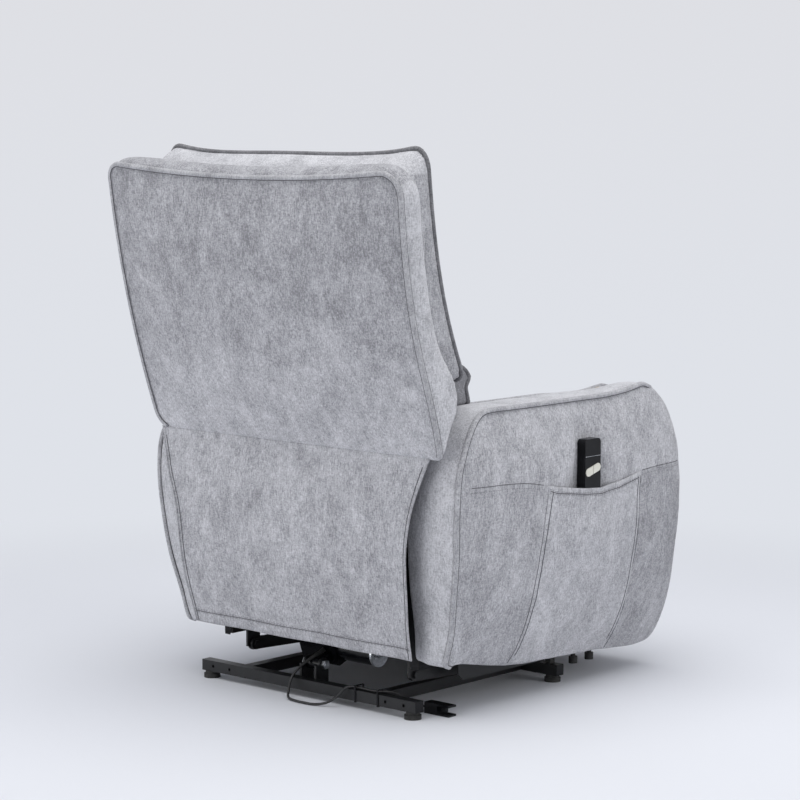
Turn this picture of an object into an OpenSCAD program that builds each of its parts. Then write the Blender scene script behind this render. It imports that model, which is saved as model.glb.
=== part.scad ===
// Powered lift recliner chair: a floor base, a motor-driven lift linkage, a seat with two arms,
// a reclining back and a folding footrest. Millimetres, +Z up, front of the chair towards -Y.

/* [Base] */
// Side of the square steel tube of the base
rail = 22; // [20:1:26]
// Wall of the square steel tube
rail_wall = 1.5; // [1:0.5:3]
// Height of a rubber foot
foot_h = 14; // [12:1:16]
// Diameter of a rubber foot
foot_d = 33; // [24:1:40]
// Half of the length of the rear rail
base_half_w = 289; // [286:1:310]
// How much shorter the front rail is at each end
front_rail_in = 9; // [0:1:12]
// Rear face of the base
base_rear_y = 280; // [278:1:288]
// Front face of the base
base_front_y = -174; // [-190:1:-170]
// Distance of a side rail from the middle
side_rail_x = 178; // [150:1:190]
// Radius of the accessory holes in the rear rail
rail_hole_r = 3; // [2:0.5:5]
// Distance between the two accessory holes of one end
rail_hole_pitch = 47; // [30:1:60]

/* [Lift linkage] */
// Radius of the lift bolts
lift_bolt_r = 5; // [4:0.5:6]
// Thickness of the lift links and their plates
lift_plate_t = 5; // [4:0.5:6]
// Half of the width of a lift link
lift_link_r = 12; // [10:0.5:13]
// Base pivot of the rear lift link, front to back
lift_a_y = -78; // [-81:1:-75]
// Base pivot of the rear lift link, height
lift_a_z = 92; // [90:1:94]
// Base pivot of the front lift link, front to back
lift_b_y = -116; // [-119:1:-113]
// Base pivot of the front lift link, height
lift_b_z = 84; // [82:1:86]
// Chair pivot of the rear lift link, front to back
lift_c_y = 205; // [203:1:207]
// Chair pivot of the rear lift link, height
lift_c_z = 67; // [65:1:69]
// Chair pivot of the front lift link, front to back
lift_d_y = 49; // [46:1:52]
// Chair pivot of the front lift link, height
lift_d_z = 60; // [59:1:63]

/* [Actuator] */
// Distance of the actuator from the middle
act_x = 14; // [0:1:40]
// Rear pivot of the actuator, front to back
clevis_y = 236; // [233:1:239]
// Rear pivot of the actuator, height
clevis_z = 61; // [59:1:63]
// Crank pin of the lift linkage, front to back
crank_y = -58; // [-61:1:-55]
// Crank pin of the lift linkage, height
crank_z = 168; // [165:1:171]
// Outer radius of the actuator tube
act_tube_r = 17; // [15:0.5:20]
// Radius of the actuator rod
act_rod_r = 10; // [8:0.5:12]
// Radius of the motor
motor_r = 23; // [20:0.5:26]
// Length of the motor
motor_l = 88; // [70:1:100]

/* [Seat] */
// Width between the inner faces of the arms
seat_w = 526; // [500:1:560]
// Thickness of the seat box boards
board_t = 22.5; // [18:0.5:25]
// Height of the seat box
box_h = 210; // [205:1:215]
// Thickness of the seat cushion at its edge
cushion_t = 142; // [120:1:160]
// Crown of the seat cushion
seat_crown = 18; // [8:1:26]
// Front of the seat cushion
cushion_front_y = -438; // [-442:1:-425]
// Rear of the seat cushion
cushion_rear_y = 150; // [120:1:160]

/* [Arms] */
// Height of the top of the arms
arm_top_z = 588; // [560:1:620]
// Front of the arms
arm_front_y = -445; // [-460:1:-440]
// Rear of the arms
arm_rear_y = 290; // [285:1:292]
// Distance of the lower edge of an arm from the middle
arm_hem_x = 325; // [318:1:335]
// How far an arm swells out above its lower edge
arm_swell = 79; // [60:1:90]

/* [Back] */
// Half of the width of the back at its top
back_half_top = 386; // [376:1:390]
// Half of the width of the back at its bottom
back_half_low = 365; // [355:1:375]
// Height of the top of the back
back_top_z = 1040; // [1000:1:1080]
// Height of the lower edge of the back
back_low_z = 505; // [500:1:512]
// Thickness of the rear cover of the back
cover_t = 30; // [22:1:34]
// Thickness of the wooden back frame
frame_t = 25; // [18:1:26]
// Crown of the head pillow
pillow_crown = 34; // [15:1:45]
// Lower front edge of the head pillow, front to back
pillow_low_y = 202; // [195:1:210]
// Height of the recline pivot
recline_z = 360; // [350:1:364]
// Recline pivot, front to back
recline_y = 215; // [210:1:218]

/* [Footrest] */
// Thickness of the footrest links
link_t = 4; // [3:0.5:4]
// Radius of the footrest rivets
rivet_r = 4; // [3:0.5:5]
// Length of the swinging footrest links
swing_l = 200; // [195:1:204]
// Lean of the swinging links behind the vertical when folded
swing_lean = 25; // [22:1:27]
// Thickness of the footrest board
foot_board_t = 12; // [9:1:15]
// Gap between the footrest pad and an arm
foot_pad_gap = 6; // [5:1:20]

/* [Handset] */
// Width of the handset
handset_w = 48; // [40:1:56]
// Height of the handset
handset_h = 160; // [140:1:180]
// Thickness of the handset
handset_t = 20; // [16:1:20]

/* [Hidden] */

eps = 0.01;
fit = 0.06;         // running clearance of a bolt in its hole
touch = 0.3;        // gap between pieces that lie against each other
plate_gap = 1.5;    // side gap between neighbouring links
black = "#1b1c1e";
steel = "#b9bcc0";
timber = "#c9a877";
cloth = "#b4b6bb";
rubber_black = "#141414";

// Heights of the stack
rail_top = foot_h + rail;
rest_h = 11;
frame_z0 = rail_top + rest_h;
frame_h = 43;
box_z0 = frame_z0 + frame_h;
box_z1 = box_z0 + box_h;
spring_t = 3.5;
cushion_z0 = box_z1 + spring_t + touch;
cushion_z1 = cushion_z0 + cushion_t;

board_front_y = -340;
board_rear_y = arm_rear_y - 47.3;

// Widths of the stack
box_half = seat_w / 2 - 0.5;
board_in = box_half - board_t;
function foot_lane(k) = board_in - 2 - (2 - k) * (link_t + plate_gap) - link_t;
function lift_lane(k) = board_in - 23 + k * (lift_plate_t + plate_gap);

// Pivots of the lift linkage
lift_a = [lift_a_y, lift_a_z];
lift_b = [lift_b_y, lift_b_z];
lift_c = [lift_c_y, lift_c_z];
lift_d = [lift_d_y, lift_d_z];
lift_knee = [(lift_a_y + lift_c_y) / 2 - 50, (lift_d_z + lift_c_z) / 2 + 5];
crank = [crank_y, crank_z];
clevis = [clevis_y, clevis_z];
torque_tube_r = 14;
front_rail_y1 = base_front_y + rail;
rear_rail_y0 = base_rear_y - rail;
front_half_w = base_half_w - front_rail_in;
front_foot_x = front_half_w - foot_d / 2 - 1.5;
rear_foot_x = base_half_w - foot_d / 2 + 0.5;
rail_hole_in = 30;

// Pivots of the footrest linkage: two parallel pairs, so it closes exactly
swing_top = [-290, box_z1 - 38];
stay_top = swing_top + [50, 0];
swing_dir = [sin(swing_lean), -cos(swing_lean)];
swing_low = swing_top + swing_l * swing_dir;
stay_low = stay_top + swing_l * swing_dir;
board_back_y = -388;
tilt_arm = -60 * swing_dir;
carrier_end = [board_back_y + 38, swing_low[1] + 147];
bracket_end = carrier_end + tilt_arm;
stay_mid = stay_low + tilt_arm;
foot_link_r = 11;
foot_pad_t = 34;
foot_pad_half = seat_w / 2 - foot_pad_gap;
foot_low_z = frame_z0 + 36;
foot_top_z = cushion_z0 - 10;

// Actuator: it is drawn level, pointing to the front from its rear pivot, then tilted
act_run = crank - clevis;
act_l = norm(act_run);
act_tilt = atan2(act_run[1], -act_run[0]);
clevis_gap = 34;
clevis_plate_t = 5;
tube_start = 84;
tube_end = 236;
gland_y = -32.2;
eye_r = 19;

// Rear edge of the back as one curve, and the same curve shifted forward
back_p0 = [315, back_low_z];
back_p1 = [405, back_low_z + 0.49 * (back_top_z - back_low_z)];
back_p2 = [431, back_top_z];
function bez(a, b, c, t) = (1 - t) * (1 - t) * a + 2 * t * (1 - t) * b + t * t * c;
function bez_dir(a, b, c, t) = let (d = (1 - t) * (b - a) + t * (c - b)) d / norm(d);
function back_at(t, forward) =
    let (d = bez_dir(back_p0, back_p1, back_p2, t))
    bez(back_p0, back_p1, back_p2, t) + forward * [-d[1], d[0]];
frame_rear = cover_t + touch;
frame_front = frame_rear + frame_t;
strap_t = 3;

// Handset and its place on the right arm
handset_y = -93;
handset_x = 416;
handset_z = 352;
button_r = 7.8;
button_turn = 16;
pocket_back_x = handset_x - handset_t - 1;
button_depth = 5;
button_lift = 1.5;

// Route of the power lead, from the gearbox to the connector
lead_r = 2.5;
LEAD = [[10, 217, 85], [10, 225, 82], [12, 238, 77], [19, 251, 68], [27, 266, 56], [31, 280, 44],
    [29, 292, 30], [25, 301, 15], [15, 312, 5], [-5, 318, 3], [-32, 320, 3], [-58, 317, 3],
    [-80, 309, 7], [-96, 301, 16], [-106, 293, 27], [-113, 285, 38], [-124, 276, 41],
    [-142, 271, 40], [-172, 270, 39], [-203, 264, 41], [-217, 254, 38],
    [-228, 242, 27], [-235, 229, 16], [-239, 217, 11], [-244, 210, 10], [-250, 207, 10], [-256, 207, 10]];

// ---------------------------------------------------------------- helpers

// Draws its flat children in the side view and gives them a thickness from x0 to x1
module side(x0, x1) {
    translate([x0, 0, 0]) rotate([90, 0, 90]) linear_extrude(x1 - x0) children();
}

// The children on the left side and their mirror image on the right side
module pair() {
    children();
    mirror([1, 0, 0]) children();
}

// Flat link between two pivots, in the side view
module link_shape(p, q, r) {
    run = q - p;
    translate(p) rotate(atan2(run[1], run[0])) {
        circle(r = r, $fn = 48);
        translate([norm(run), 0]) circle(r = r, $fn = 48);
        translate([0, -r]) square([norm(run), 2 * r]);
    }
}

// Round hole or disc at a pivot, in the side view
module disc(p, r) {
    translate(p) circle(r = r, $fn = 48);
}

// Round bolt across the chair at a pivot, from x0 to x1
module bolt(p, r, x0, x1) {
    side(x0, x1) disc(p, r);
}

// Hexagonal bolt head or nut across the chair
module hex(p, r, x0, x1) {
    side(x0, x1) translate(p) circle(r = r, $fn = 6);
}

// Square steel tube along X or Y between two corners
module tube_x(x0, x1, y0, z0) {
    difference() {
        translate([x0, y0, z0]) cube([x1 - x0, rail, rail]);
        translate([x0 - 1, y0 + rail_wall, z0 + rail_wall])
            cube([x1 - x0 + 2, rail - 2 * rail_wall, rail - 2 * rail_wall]);
    }
}
module tube_y(y0, y1, x0, z0) {
    difference() {
        translate([x0, y0, z0]) cube([rail, y1 - y0, rail]);
        translate([x0 + rail_wall, y0 - 1, z0 + rail_wall])
            cube([rail - 2 * rail_wall, y1 - y0 + 2, rail - 2 * rail_wall]);
    }
}

// Boundary of a point grid, starting at its first row
function grid_loop(nu, nv) = concat(
    [for (i = [0 : nu - 1]) i],
    [for (j = [0 : nv - 1]) j * (nu + 1) + nu],
    [for (i = [nu : -1 : 1]) nv * (nu + 1) + i],
    [for (j = [nv : -1 : 1]) j * (nu + 1)]);
function flat(rows) = [for (row = rows) for (p = row) p];
function middle(points) = [for (a = [0 : 2]) [for (p = points) p[a]] * [for (p = points) 1] / len(points)];

// Closed cushion between two point grids, its sides drawn in halfway
module cushion(front, back, draw_in) {
    nv = len(front) - 1;
    nu = len(front[0]) - 1;
    f = flat(front);
    b = flat(back);
    n = len(f);
    loop = grid_loop(nu, nv);
    m = len(loop);
    centre = middle(concat(f, b));
    waist = [for (k = loop) let (p = (f[k] + b[k]) / 2, d = centre - p) p + draw_in * d / norm(d)];
    cells = [for (j = [0 : nv - 1]) for (i = [0 : nu - 1]) j * (nu + 1) + i];
    up = nu + 1;
    polyhedron(
        points = concat(f, b, waist),
        faces = concat(
            [for (a = cells) [a, a + up, a + up + 1]],
            [for (a = cells) [a, a + up + 1, a + 1]],
            [for (a = cells) [n + a, n + a + up + 1, n + a + up]],
            [for (a = cells) [n + a, n + a + 1, n + a + up + 1]],
            [for (k = [0 : m - 1]) let (q = (k + 1) % m) [loop[k], loop[q], 2 * n + q]],
            [for (k = [0 : m - 1]) let (q = (k + 1) % m) [loop[k], 2 * n + q, 2 * n + k]],
            [for (k = [0 : m - 1]) let (q = (k + 1) % m) [2 * n + k, 2 * n + q, n + loop[q]]],
            [for (k = [0 : m - 1]) let (q = (k + 1) % m) [2 * n + k, n + loop[q], n + loop[k]]]),
        convexity = 4);
}

// Crown of a stuffed piece: 1 in the middle, 0 along its edges; u and w run from -1 to 1
function crown(u, w) = (1 - pow(abs(u), 3)) * (1 - pow(abs(w), 3));
// How far a rounded corner draws a point back, 0 except near the corners
function corner(u, w) = pow(abs(u * w), 6);
steps = 12;
function grid_u(i) = 2 * i / steps - 1;
function grid_v(j) = j / steps;

// ---------------------------------------------------------------- base

module base_rear_rail() {
    color(black) difference() {
        tube_x(-base_half_w, base_half_w, rear_rail_y0, foot_h);
        pair() for (k = [0, 1])
            translate([base_half_w - rail_hole_in - k * rail_hole_pitch, base_rear_y + 1, foot_h + rail / 2])
                rotate([90, 0, 0]) cylinder(r = rail_hole_r, h = rail_wall + 2, $fn = 32);
    }
}

module base_side_rails() {
    color(black) pair()
        tube_y(front_rail_y1, rear_rail_y0, side_rail_x - rail / 2, foot_h);
}

module base_front_rail() {
    color(black) tube_x(-front_half_w, front_half_w, base_front_y, foot_h);
}

// Plastic plugs in the four open tube ends
module rail_end_caps() {
    in = rail_wall + fit;
    ends = [[base_half_w, rear_rail_y0], [front_half_w, base_front_y]];
    color(rubber_black) pair() for (e = ends) {
        translate([e[0], e[1], foot_h]) cube([1.5, rail, rail]);
        translate([e[0] - 12, e[1] + in, foot_h + in]) cube([12 + eps, rail - 2 * in, rail - 2 * in]);
    }
}

module rubber_feet() {
    foot_spots = [[rear_foot_x, base_rear_y - rail / 2], [front_foot_x, base_front_y + rail / 2]];
    color(rubber_black) pair() for (p = foot_spots) translate([p[0], p[1], 0]) {
        cylinder(r = foot_d / 2, h = foot_h * 0.6, $fn = 48);
        cylinder(r = foot_d / 2 - 3, h = foot_h, $fn = 48);
    }
}

// Rubber pads on the front rail on which the lowered chair rests
module rest_pads() {
    color(rubber_black) pair()
        translate([box_half - 14, base_front_y + 4, rail_top])
            cube([13, rail - 8, frame_z0 - rail_top - touch]);
}

// Two upright plates ahead of the rear rail that hold the actuator
module actuator_clevis() {
    color(black) for (s = [-1, 1]) {
        x0 = act_x + s * (clevis_gap / 2 + clevis_plate_t / 2 + 0.5) - clevis_plate_t / 2;
        side(x0, x0 + clevis_plate_t) difference() {
            union() {
                disc(clevis, 13);
                translate([clevis_y - 13, foot_h + 6]) square([26, clevis_z - foot_h - 6]);
                translate([clevis_y, foot_h]) square([rear_rail_y0 - clevis_y, clevis_z - foot_h]);
            }
            disc(clevis, lift_bolt_r + fit);
        }
    }
}

module clevis_bolt() {
    outer = clevis_gap / 2 + clevis_plate_t + 0.5;
    color(steel) {
        bolt(clevis, lift_bolt_r, act_x - outer - 10, act_x + outer + 1);
        hex(clevis, 9, act_x - outer - 8, act_x - outer);
        hex(clevis, 9, act_x + outer, act_x + outer + 6);
    }
}

// Plates on the front rail that carry the base pivots of both lift links
module lift_pivot_brackets() {
    x0 = lift_lane(0);
    color(black) pair() side(x0, x0 + lift_plate_t) difference() {
        union() {
            link_shape(lift_b, lift_a, lift_link_r + 2);
            polygon([[base_front_y, rail_top], [base_front_y + rail, rail_top],
                [lift_a_y - 10, rail_top + 26], lift_a + [8, -11], lift_b + [-8, 12],
                [base_front_y, rail_top + 20]]);
        }
        disc(lift_a, lift_bolt_r + fit);
        disc(lift_b, lift_bolt_r + fit);
    }
}

module lift_base_bolts() {
    inner = lift_lane(-1);
    mid = lift_lane(0);
    outer = lift_lane(1) + lift_plate_t;
    color(steel) pair() {
        bolt(lift_a, lift_bolt_r, inner - 4, mid + lift_plate_t);
        bolt(lift_b, lift_bolt_r, mid, outer + 1);
        hex(lift_b, 8, outer + 0.5, outer + 4);
    }
}

// ---------------------------------------------------------------- power lead

// Smooth route through the chosen points
function route(p, k, t) =
    let (a = p[max(k - 1, 0)], b = p[k], c = p[k + 1], d = p[min(k + 2, len(p) - 1)])
    0.5 * (2 * b + t * (c - a) + t * t * (2 * a - 5 * b + 4 * c - d) + t * t * t * (3 * b - a - 3 * c + d));
lead_steps = 3;
lead_path = concat(
    [for (k = [0 : len(LEAD) - 2]) for (s = [0 : lead_steps - 1]) route(LEAD, k, s / lead_steps)],
    [LEAD[len(LEAD) - 1]]);
function heading(p, k) = let (d = p[min(k + 1, len(p) - 1)] - p[max(k - 1, 0)]) d / norm(d);
function carry(v, t) = let (w = v - (v * t) * t) w / norm(w);
function normals(p, k = 0, v = [0, 0, 1]) =
    let (w = carry(v, heading(p, k))) k == len(p) - 1 ? [w] : concat([w], normals(p, k + 1, w));

// Round tube swept along a path, with its ends closed
module swept_tube(path, r, sides) {
    across = normals(path);
    rings = len(path);
    points = [for (k = [0 : rings - 1]) for (s = [0 : sides - 1])
        let (a = 360 * s / sides, n = across[k], b = cross(heading(path, k), n))
        path[k] + r * (cos(a) * n + sin(a) * b)];
    polyhedron(
        points = points,
        faces = concat(
            [[for (s = [0 : sides - 1]) s]],
            [for (k = [0 : rings - 2]) for (s = [0 : sides - 1])
                let (q = (s + 1) % sides, o = k * sides) [o + s, o + sides + q, o + q]],
            [for (k = [0 : rings - 2]) for (s = [0 : sides - 1])
                let (q = (s + 1) % sides, o = k * sides) [o + s, o + sides + s, o + sides + q]],
            [[for (s = [sides - 1 : -1 : 0]) (rings - 1) * sides + s]]),
        convexity = 10);
}

module power_lead() {
    color(black) swept_tube(lead_path, lead_r, 8);
    steps_l = [for (k = [1 : len(lead_path) - 1]) norm(lead_path[k] - lead_path[k - 1])];
    echo("length of the power lead", steps_l * [for (s = steps_l) 1]);
}

// Ties that strap the lead to the top of the rear rail
module lead_ties() {
    tie_w = 4;
    color(rubber_black) for (x = [-134, -193]) difference() {
        translate([x - tie_w / 2, rear_rail_y0 - 1.6, foot_h - 1.6])
            cube([tie_w, rail + 3.2, rail + 10.6]);
        translate([x - tie_w, rear_rail_y0 - 0.2, foot_h - 0.2])
            cube([2 * tie_w, rail + 0.4, rail + 7.7]);
    }
}

module lead_connector() {
    x1 = -256;
    color(black) {
        translate([x1 - 32, 196, 0]) cube([32, 22, 22]);
        translate([x1 - 62, 196, 0]) cube([30 + eps, 22, 4]);
        translate([x1 - 62, 196, 18]) cube([30 + eps, 22, 4]);
        translate([x1 - 48, 203, 7]) cube([16 + eps, 8, 8]);
    }
}

// ---------------------------------------------------------------- lift linkage

module rear_lift_links() {
    x0 = lift_lane(-1);
    color(black) pair() side(x0, x0 + lift_plate_t) difference() {
        union() {
            link_shape(lift_a, lift_knee, lift_link_r);
            link_shape(lift_knee, lift_c, lift_link_r);
        }
        disc(lift_a, lift_bolt_r + fit);
        disc(lift_c, lift_bolt_r + fit);
    }
}

// Tube that joins the two rear lift links
module lift_torque_tube() {
    half = lift_lane(-1);
    color(black) side(-half, half) difference() {
        disc(lift_a, torque_tube_r);
        disc(lift_a, torque_tube_r - 3);
    }
}

// Pair of crank plates on the torque tube
module drive_crank() {
    color(black) for (s = [-1, 1]) {
        x0 = act_x + s * 16 - 2.5;
        side(x0, x0 + 5) difference() {
            union() {
                disc(lift_a, torque_tube_r + 6);
                link_shape(lift_a, crank, lift_link_r);
            }
            disc(lift_a, torque_tube_r + 0.02);
            disc(crank, lift_bolt_r + fit);
        }
    }
}

module crank_pin() {
    color(steel) {
        bolt(crank, lift_bolt_r, act_x - 21, act_x + 21);
        hex(crank, 8, act_x - 24, act_x - 18.5);
        hex(crank, 8, act_x + 18.5, act_x + 24);
    }
}

module front_lift_links() {
    x0 = lift_lane(1);
    color(black) pair() side(x0, x0 + lift_plate_t) difference() {
        link_shape(lift_b, lift_d, lift_link_r - 1);
        disc(lift_b, lift_bolt_r + fit);
        disc(lift_d, lift_bolt_r + 0.25);
    }
}

// ---------------------------------------------------------------- actuator

// Places a piece that is drawn level, forward along -Y from the rear pivot, on the tilted actuator
module on_actuator() {
    translate([act_x, clevis_y, clevis_z]) rotate([-act_tilt, 0, 0]) children();
}

module gearbox_housing() {
    ear_half = clevis_gap / 2;
    color(black) on_actuator() {
        difference() {
            side(-ear_half, ear_half) {
                disc([0, 0], 12);
                translate([-40, -10]) square([40, 20]);
            }
            side(-ear_half - 1, ear_half + 1) disc([0, 0], lift_bolt_r + fit);
        }
        translate([-30, -tube_start, -20]) cube([98, 52, 50]);
        // Gland of the power lead on the rear face
        translate([LEAD[0][0] - act_x, gland_y, 16]) rotate([-90, 0, 0]) cylinder(r = 5, h = 6, $fn = 32);
    }
}

module motor() {
    color(black) on_actuator() translate([-30, -58, 6]) rotate([0, -90, 0])
        cylinder(r = motor_r, h = motor_l, $fn = 64);
}

module motor_end_cap() {
    color(steel) on_actuator() translate([-30 - motor_l, -58, 6]) rotate([0, -90, 0]) {
        cylinder(r = motor_r + 1.5, h = 5, $fn = 64);
        cylinder(r = 7, h = 9, $fn = 32);
    }
}

module actuator_tube() {
    color(steel) on_actuator() translate([0, -tube_start, 0]) rotate([90, 0, 0]) difference() {
        union() {
            cylinder(r = act_tube_r, h = tube_end - tube_start, $fn = 48);
            translate([0, 0, tube_end - tube_start - 10]) cylinder(r = act_tube_r + 2, h = 10, $fn = 48);
        }
        translate([0, 0, 12]) cylinder(r = act_rod_r + 0.5, h = tube_end, $fn = 48);
    }
}

// Rod with its slotted end eye around the crank pin
module actuator_rod() {
    rod_start = 150;
    color(steel) on_actuator() {
        translate([0, -rod_start, 0]) rotate([90, 0, 0])
            cylinder(r = act_rod_r, h = act_l - rod_start - eye_r + 3, $fn = 48);
        side(-12, 12) difference() {
            disc([-act_l, 0], eye_r);
            for (s = [-1, 1]) disc([-act_l, s * 2.8], lift_bolt_r + 2.2);
            translate([-act_l - lift_bolt_r - 2.2, -2.8]) square([2 * lift_bolt_r + 4.4, 5.6]);
        }
    }
}

// ---------------------------------------------------------------- lift frame

// Steel angles under the side boards of the seat box
module lift_frame_rails() {
    leg_x = box_half - 4;
    front = board_front_y + 40;
    rear = lift_d_y + 76;
    color(black) pair() {
        side(leg_x, leg_x + 3) polygon([[rear, frame_z0 + 14], [rear - 14, frame_z0],
            [front + 10, frame_z0], [front, frame_z0 + 10], [front, box_z0], [rear, box_z0]]);
        translate([board_in, front, box_z0 - 3]) cube([leg_x - board_in, rear - front, 3]);
    }
}

leg_w = 35;
cross_rear_y = lift_c_y + leg_w / 2;
cross_rear_z = box_z0 + 30;
cross_front_y = -150;
cross_front_z = box_z0 + 30;
module lift_cross_tubes() {
    color(black) {
        tube_x(-board_in + touch, board_in - touch, cross_rear_y, cross_rear_z);
        tube_x(-board_in + touch, board_in - touch, cross_front_y, cross_front_z);
    }
}

// Plates with a leg from the rear cross tube; they carry the chair pivots of both lift links
module lift_pivot_plates() {
    x0 = lift_lane(0);
    color(black) pair() side(x0, x0 + lift_plate_t) difference() {
        union() {
            link_shape(lift_d, lift_c, lift_link_r + 1);
            polygon([lift_c + [-leg_w / 2, -8], lift_c + [leg_w / 2, -4],
                [cross_rear_y, cross_rear_z + rail], [cross_rear_y - leg_w, cross_rear_z + rail]]);
        }
        disc(lift_c, lift_bolt_r + fit);
        disc(lift_d, lift_bolt_r + fit);
    }
}

module lift_frame_bolts() {
    inner = lift_lane(-1);
    mid = lift_lane(0);
    outer = lift_lane(1) + lift_plate_t;
    color(steel) pair() {
        bolt(lift_c, lift_bolt_r, inner - 4, mid + lift_plate_t);
        hex(lift_c, 8, inner - 4, inner - 0.5);
        hex(lift_c, 8, mid + lift_plate_t, mid + lift_plate_t + 5);
        bolt(lift_d, lift_bolt_r, mid, outer + 1);
        hex(lift_d, 8, outer + 0.5, outer + 4);
    }
}

// Black stop knobs under the front ends of the steel angles
module frame_bumpers() {
    color(rubber_black) pair() for (y = [board_front_y + 102, board_front_y + 50])
        translate([box_half - 8, y, 0]) {
            translate([0, 0, frame_z0 - 23]) cylinder(r = 9, h = 14, $fn = 32);
            translate([0, 0, frame_z0 - 23]) cylinder(r = 5, h = 23, $fn = 32);
        }
}

// ---------------------------------------------------------------- seat

module seat_side_boards() {
    color(timber) pair()
        translate([board_in, board_front_y, box_z0]) cube([board_t, board_rear_y - board_front_y, box_h]);
}

module seat_cross_boards() {
    half = board_in - touch;
    color(timber) {
        translate([-half, board_rear_y - board_t, box_z0 + 66]) cube([2 * half, board_t, box_h - 66]);
        translate([-half, board_front_y, box_z1 - 23]) cube([2 * half, board_t, 23]);
    }
}

// Flat zigzag springs from the front board to the rear board
module seat_springs() {
    bends = 22;
    pitch = (board_rear_y - board_front_y - 12) / bends;
    reach = 22;
    zigzag = [for (k = [0 : bends]) [(k % 2) * reach, k * pitch]];
    color(steel) for (x = [-170, -62, 40, 148])
        translate([x, board_front_y + 6, box_z1]) linear_extrude(spring_t)
            polygon(concat(
                [for (p = zigzag) p - [spring_t / 2, 0]],
                [for (k = [bends : -1 : 0]) zigzag[k] + [spring_t / 2, 0]]));
}

module seat_cushion() {
    half = seat_w / 2 - 6;
    span = cushion_rear_y - cushion_front_y;
    function at(i, j, top) =
        let (u = grid_u(i), v = grid_v(j), w = 2 * v - 1, c = corner(u, w))
        [half * u * (1 - 0.05 * c), (cushion_front_y + cushion_rear_y) / 2 + span / 2 * w * (1 - 0.05 * c),
            top ? cushion_z1 + seat_crown * crown(u, w) - 16 * pow(1 - v, 6) : cushion_z0];
    color(cloth) cushion(
        [for (j = [0 : steps]) [for (i = [0 : steps]) at(i, j, true)]],
        [for (j = [0 : steps]) [for (i = [0 : steps]) at(i, j, false)]], 5);
}

// ---------------------------------------------------------------- arms

// Half width of an arm's outer side at a height: narrow at the lower edge, widest below the top
arm_low_z = 50;
arm_full_z = 455;
function flare(z) =
    let (t = min(max((z - arm_low_z) / (arm_full_z - arm_low_z), 0), 1), over = max(z - arm_full_z, 0))
    arm_hem_x + arm_swell * (1 - pow(1 - t, 2.2)) - 0.0011 * over * over;
arm_mid = [-78, 330];
// Outer side at a point of the side view: drawn in towards the front, gently full in the middle
function arm_edge_x(p) = flare(p[1]) - 14 * pow(max(0, (-p[0] - 180) / 270), 1.5);
function fullness(p) =
    7 * max(0, 1 - pow((p[0] - arm_mid[0]) / 372, 2)) * max(0, 1 - pow((p[1] - arm_mid[1]) / 282, 2));
// Side outline, from the lower rear corner up and round to the front and back along the lower edge
arm_outline = [
    [arm_rear_y - 29, 113], [arm_rear_y - 24, 173], [arm_rear_y - 12, 244], [arm_rear_y - 5, 321],
    [arm_rear_y, 397], [arm_rear_y - 4, arm_top_z - 121], [arm_rear_y - 21, arm_top_z - 76],
    [arm_rear_y - 46, arm_top_z - 38], [arm_rear_y - 76, arm_top_z - 10], [arm_rear_y - 110, arm_top_z],
    [90, arm_top_z], [0, arm_top_z], [-90, arm_top_z], [-170, arm_top_z], [-240, arm_top_z + 4],
    [arm_front_y + 148, arm_top_z + 10], [arm_front_y + 116, arm_top_z + 5],
    [arm_front_y + 78, arm_top_z - 28], [arm_front_y + 52, arm_top_z - 70],
    [arm_front_y + 35, arm_top_z - 122], [arm_front_y + 24, 400], [arm_front_y + 19, 330],
    [arm_front_y + 14, 260], [arm_front_y + 6, 195], [arm_front_y, 134], [arm_front_y + 4, 82],
    [arm_front_y + 22, 55], [arm_front_y + 64, 50], [-296, 57], [-215, 63], [-140, 67], [-65, 69],
    [-10, 72], [45, 78], [105, 86], [165, 97], [arm_rear_y - 76, 106]];
function shrunk(points, s) = [for (p = points) arm_mid + s * (p - arm_mid)];
arm_pad_x = [seat_w / 2, seat_w / 2 + 12];
arm_frame_x = [arm_pad_x[1] + touch, arm_pad_x[1] + touch + 24];
arm_cover_x = arm_frame_x[1] + touch;

// Swollen outer part of an arm, closed by a flat inner face
module arm_shell() {
    n = len(arm_outline);
    scales = [1, 0.93, 0.8, 0.62, 0.42, 0.22];
    rings = [for (s = scales) [for (p = shrunk(arm_outline, s))
        [arm_edge_x(p) + fullness(p) * (1 - pow(s, 6)), p[0], p[1]]]];
    band = [for (p = shrunk(arm_outline, 0.992)) [(arm_edge_x(p) + arm_cover_x) / 2, p[0], p[1]]];
    inner = [for (p = shrunk(arm_outline, 0.985)) [arm_cover_x, p[0], p[1]]];
    tip = [[arm_edge_x(arm_mid) + fullness(arm_mid), arm_mid[0], arm_mid[1]],
        [arm_cover_x, arm_mid[0], arm_mid[1]]];
    last = len(scales) - 1;
    b = (last + 1) * n;
    polyhedron(
        points = concat(flat(rings), band, inner, tip),
        faces = concat(
            [for (k = [0 : last - 1]) for (i = [0 : n - 1]) let (q = (i + 1) % n)
                [k * n + i, (k + 1) * n + i, (k + 1) * n + q]],
            [for (k = [0 : last - 1]) for (i = [0 : n - 1]) let (q = (i + 1) % n)
                [k * n + i, (k + 1) * n + q, k * n + q]],
            [for (i = [0 : n - 1]) [last * n + i, b + 2 * n, last * n + (i + 1) % n]],
            [for (i = [0 : n - 1]) let (q = (i + 1) % n) [i, q, b + q]],
            [for (i = [0 : n - 1]) let (q = (i + 1) % n) [i, b + q, b + i]],
            [for (i = [0 : n - 1]) let (q = (i + 1) % n) [b + i, b + q, b + n + q]],
            [for (i = [0 : n - 1]) let (q = (i + 1) % n) [b + i, b + n + q, b + n + i]],
            [for (i = [0 : n - 1]) [b + n + i, b + n + (i + 1) % n, b + 2 * n + 1]]),
        convexity = 4);
}

module arm_pad_panel() {
    side(arm_pad_x[0], arm_pad_x[1]) polygon(shrunk(arm_outline, 0.98));
}

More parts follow.
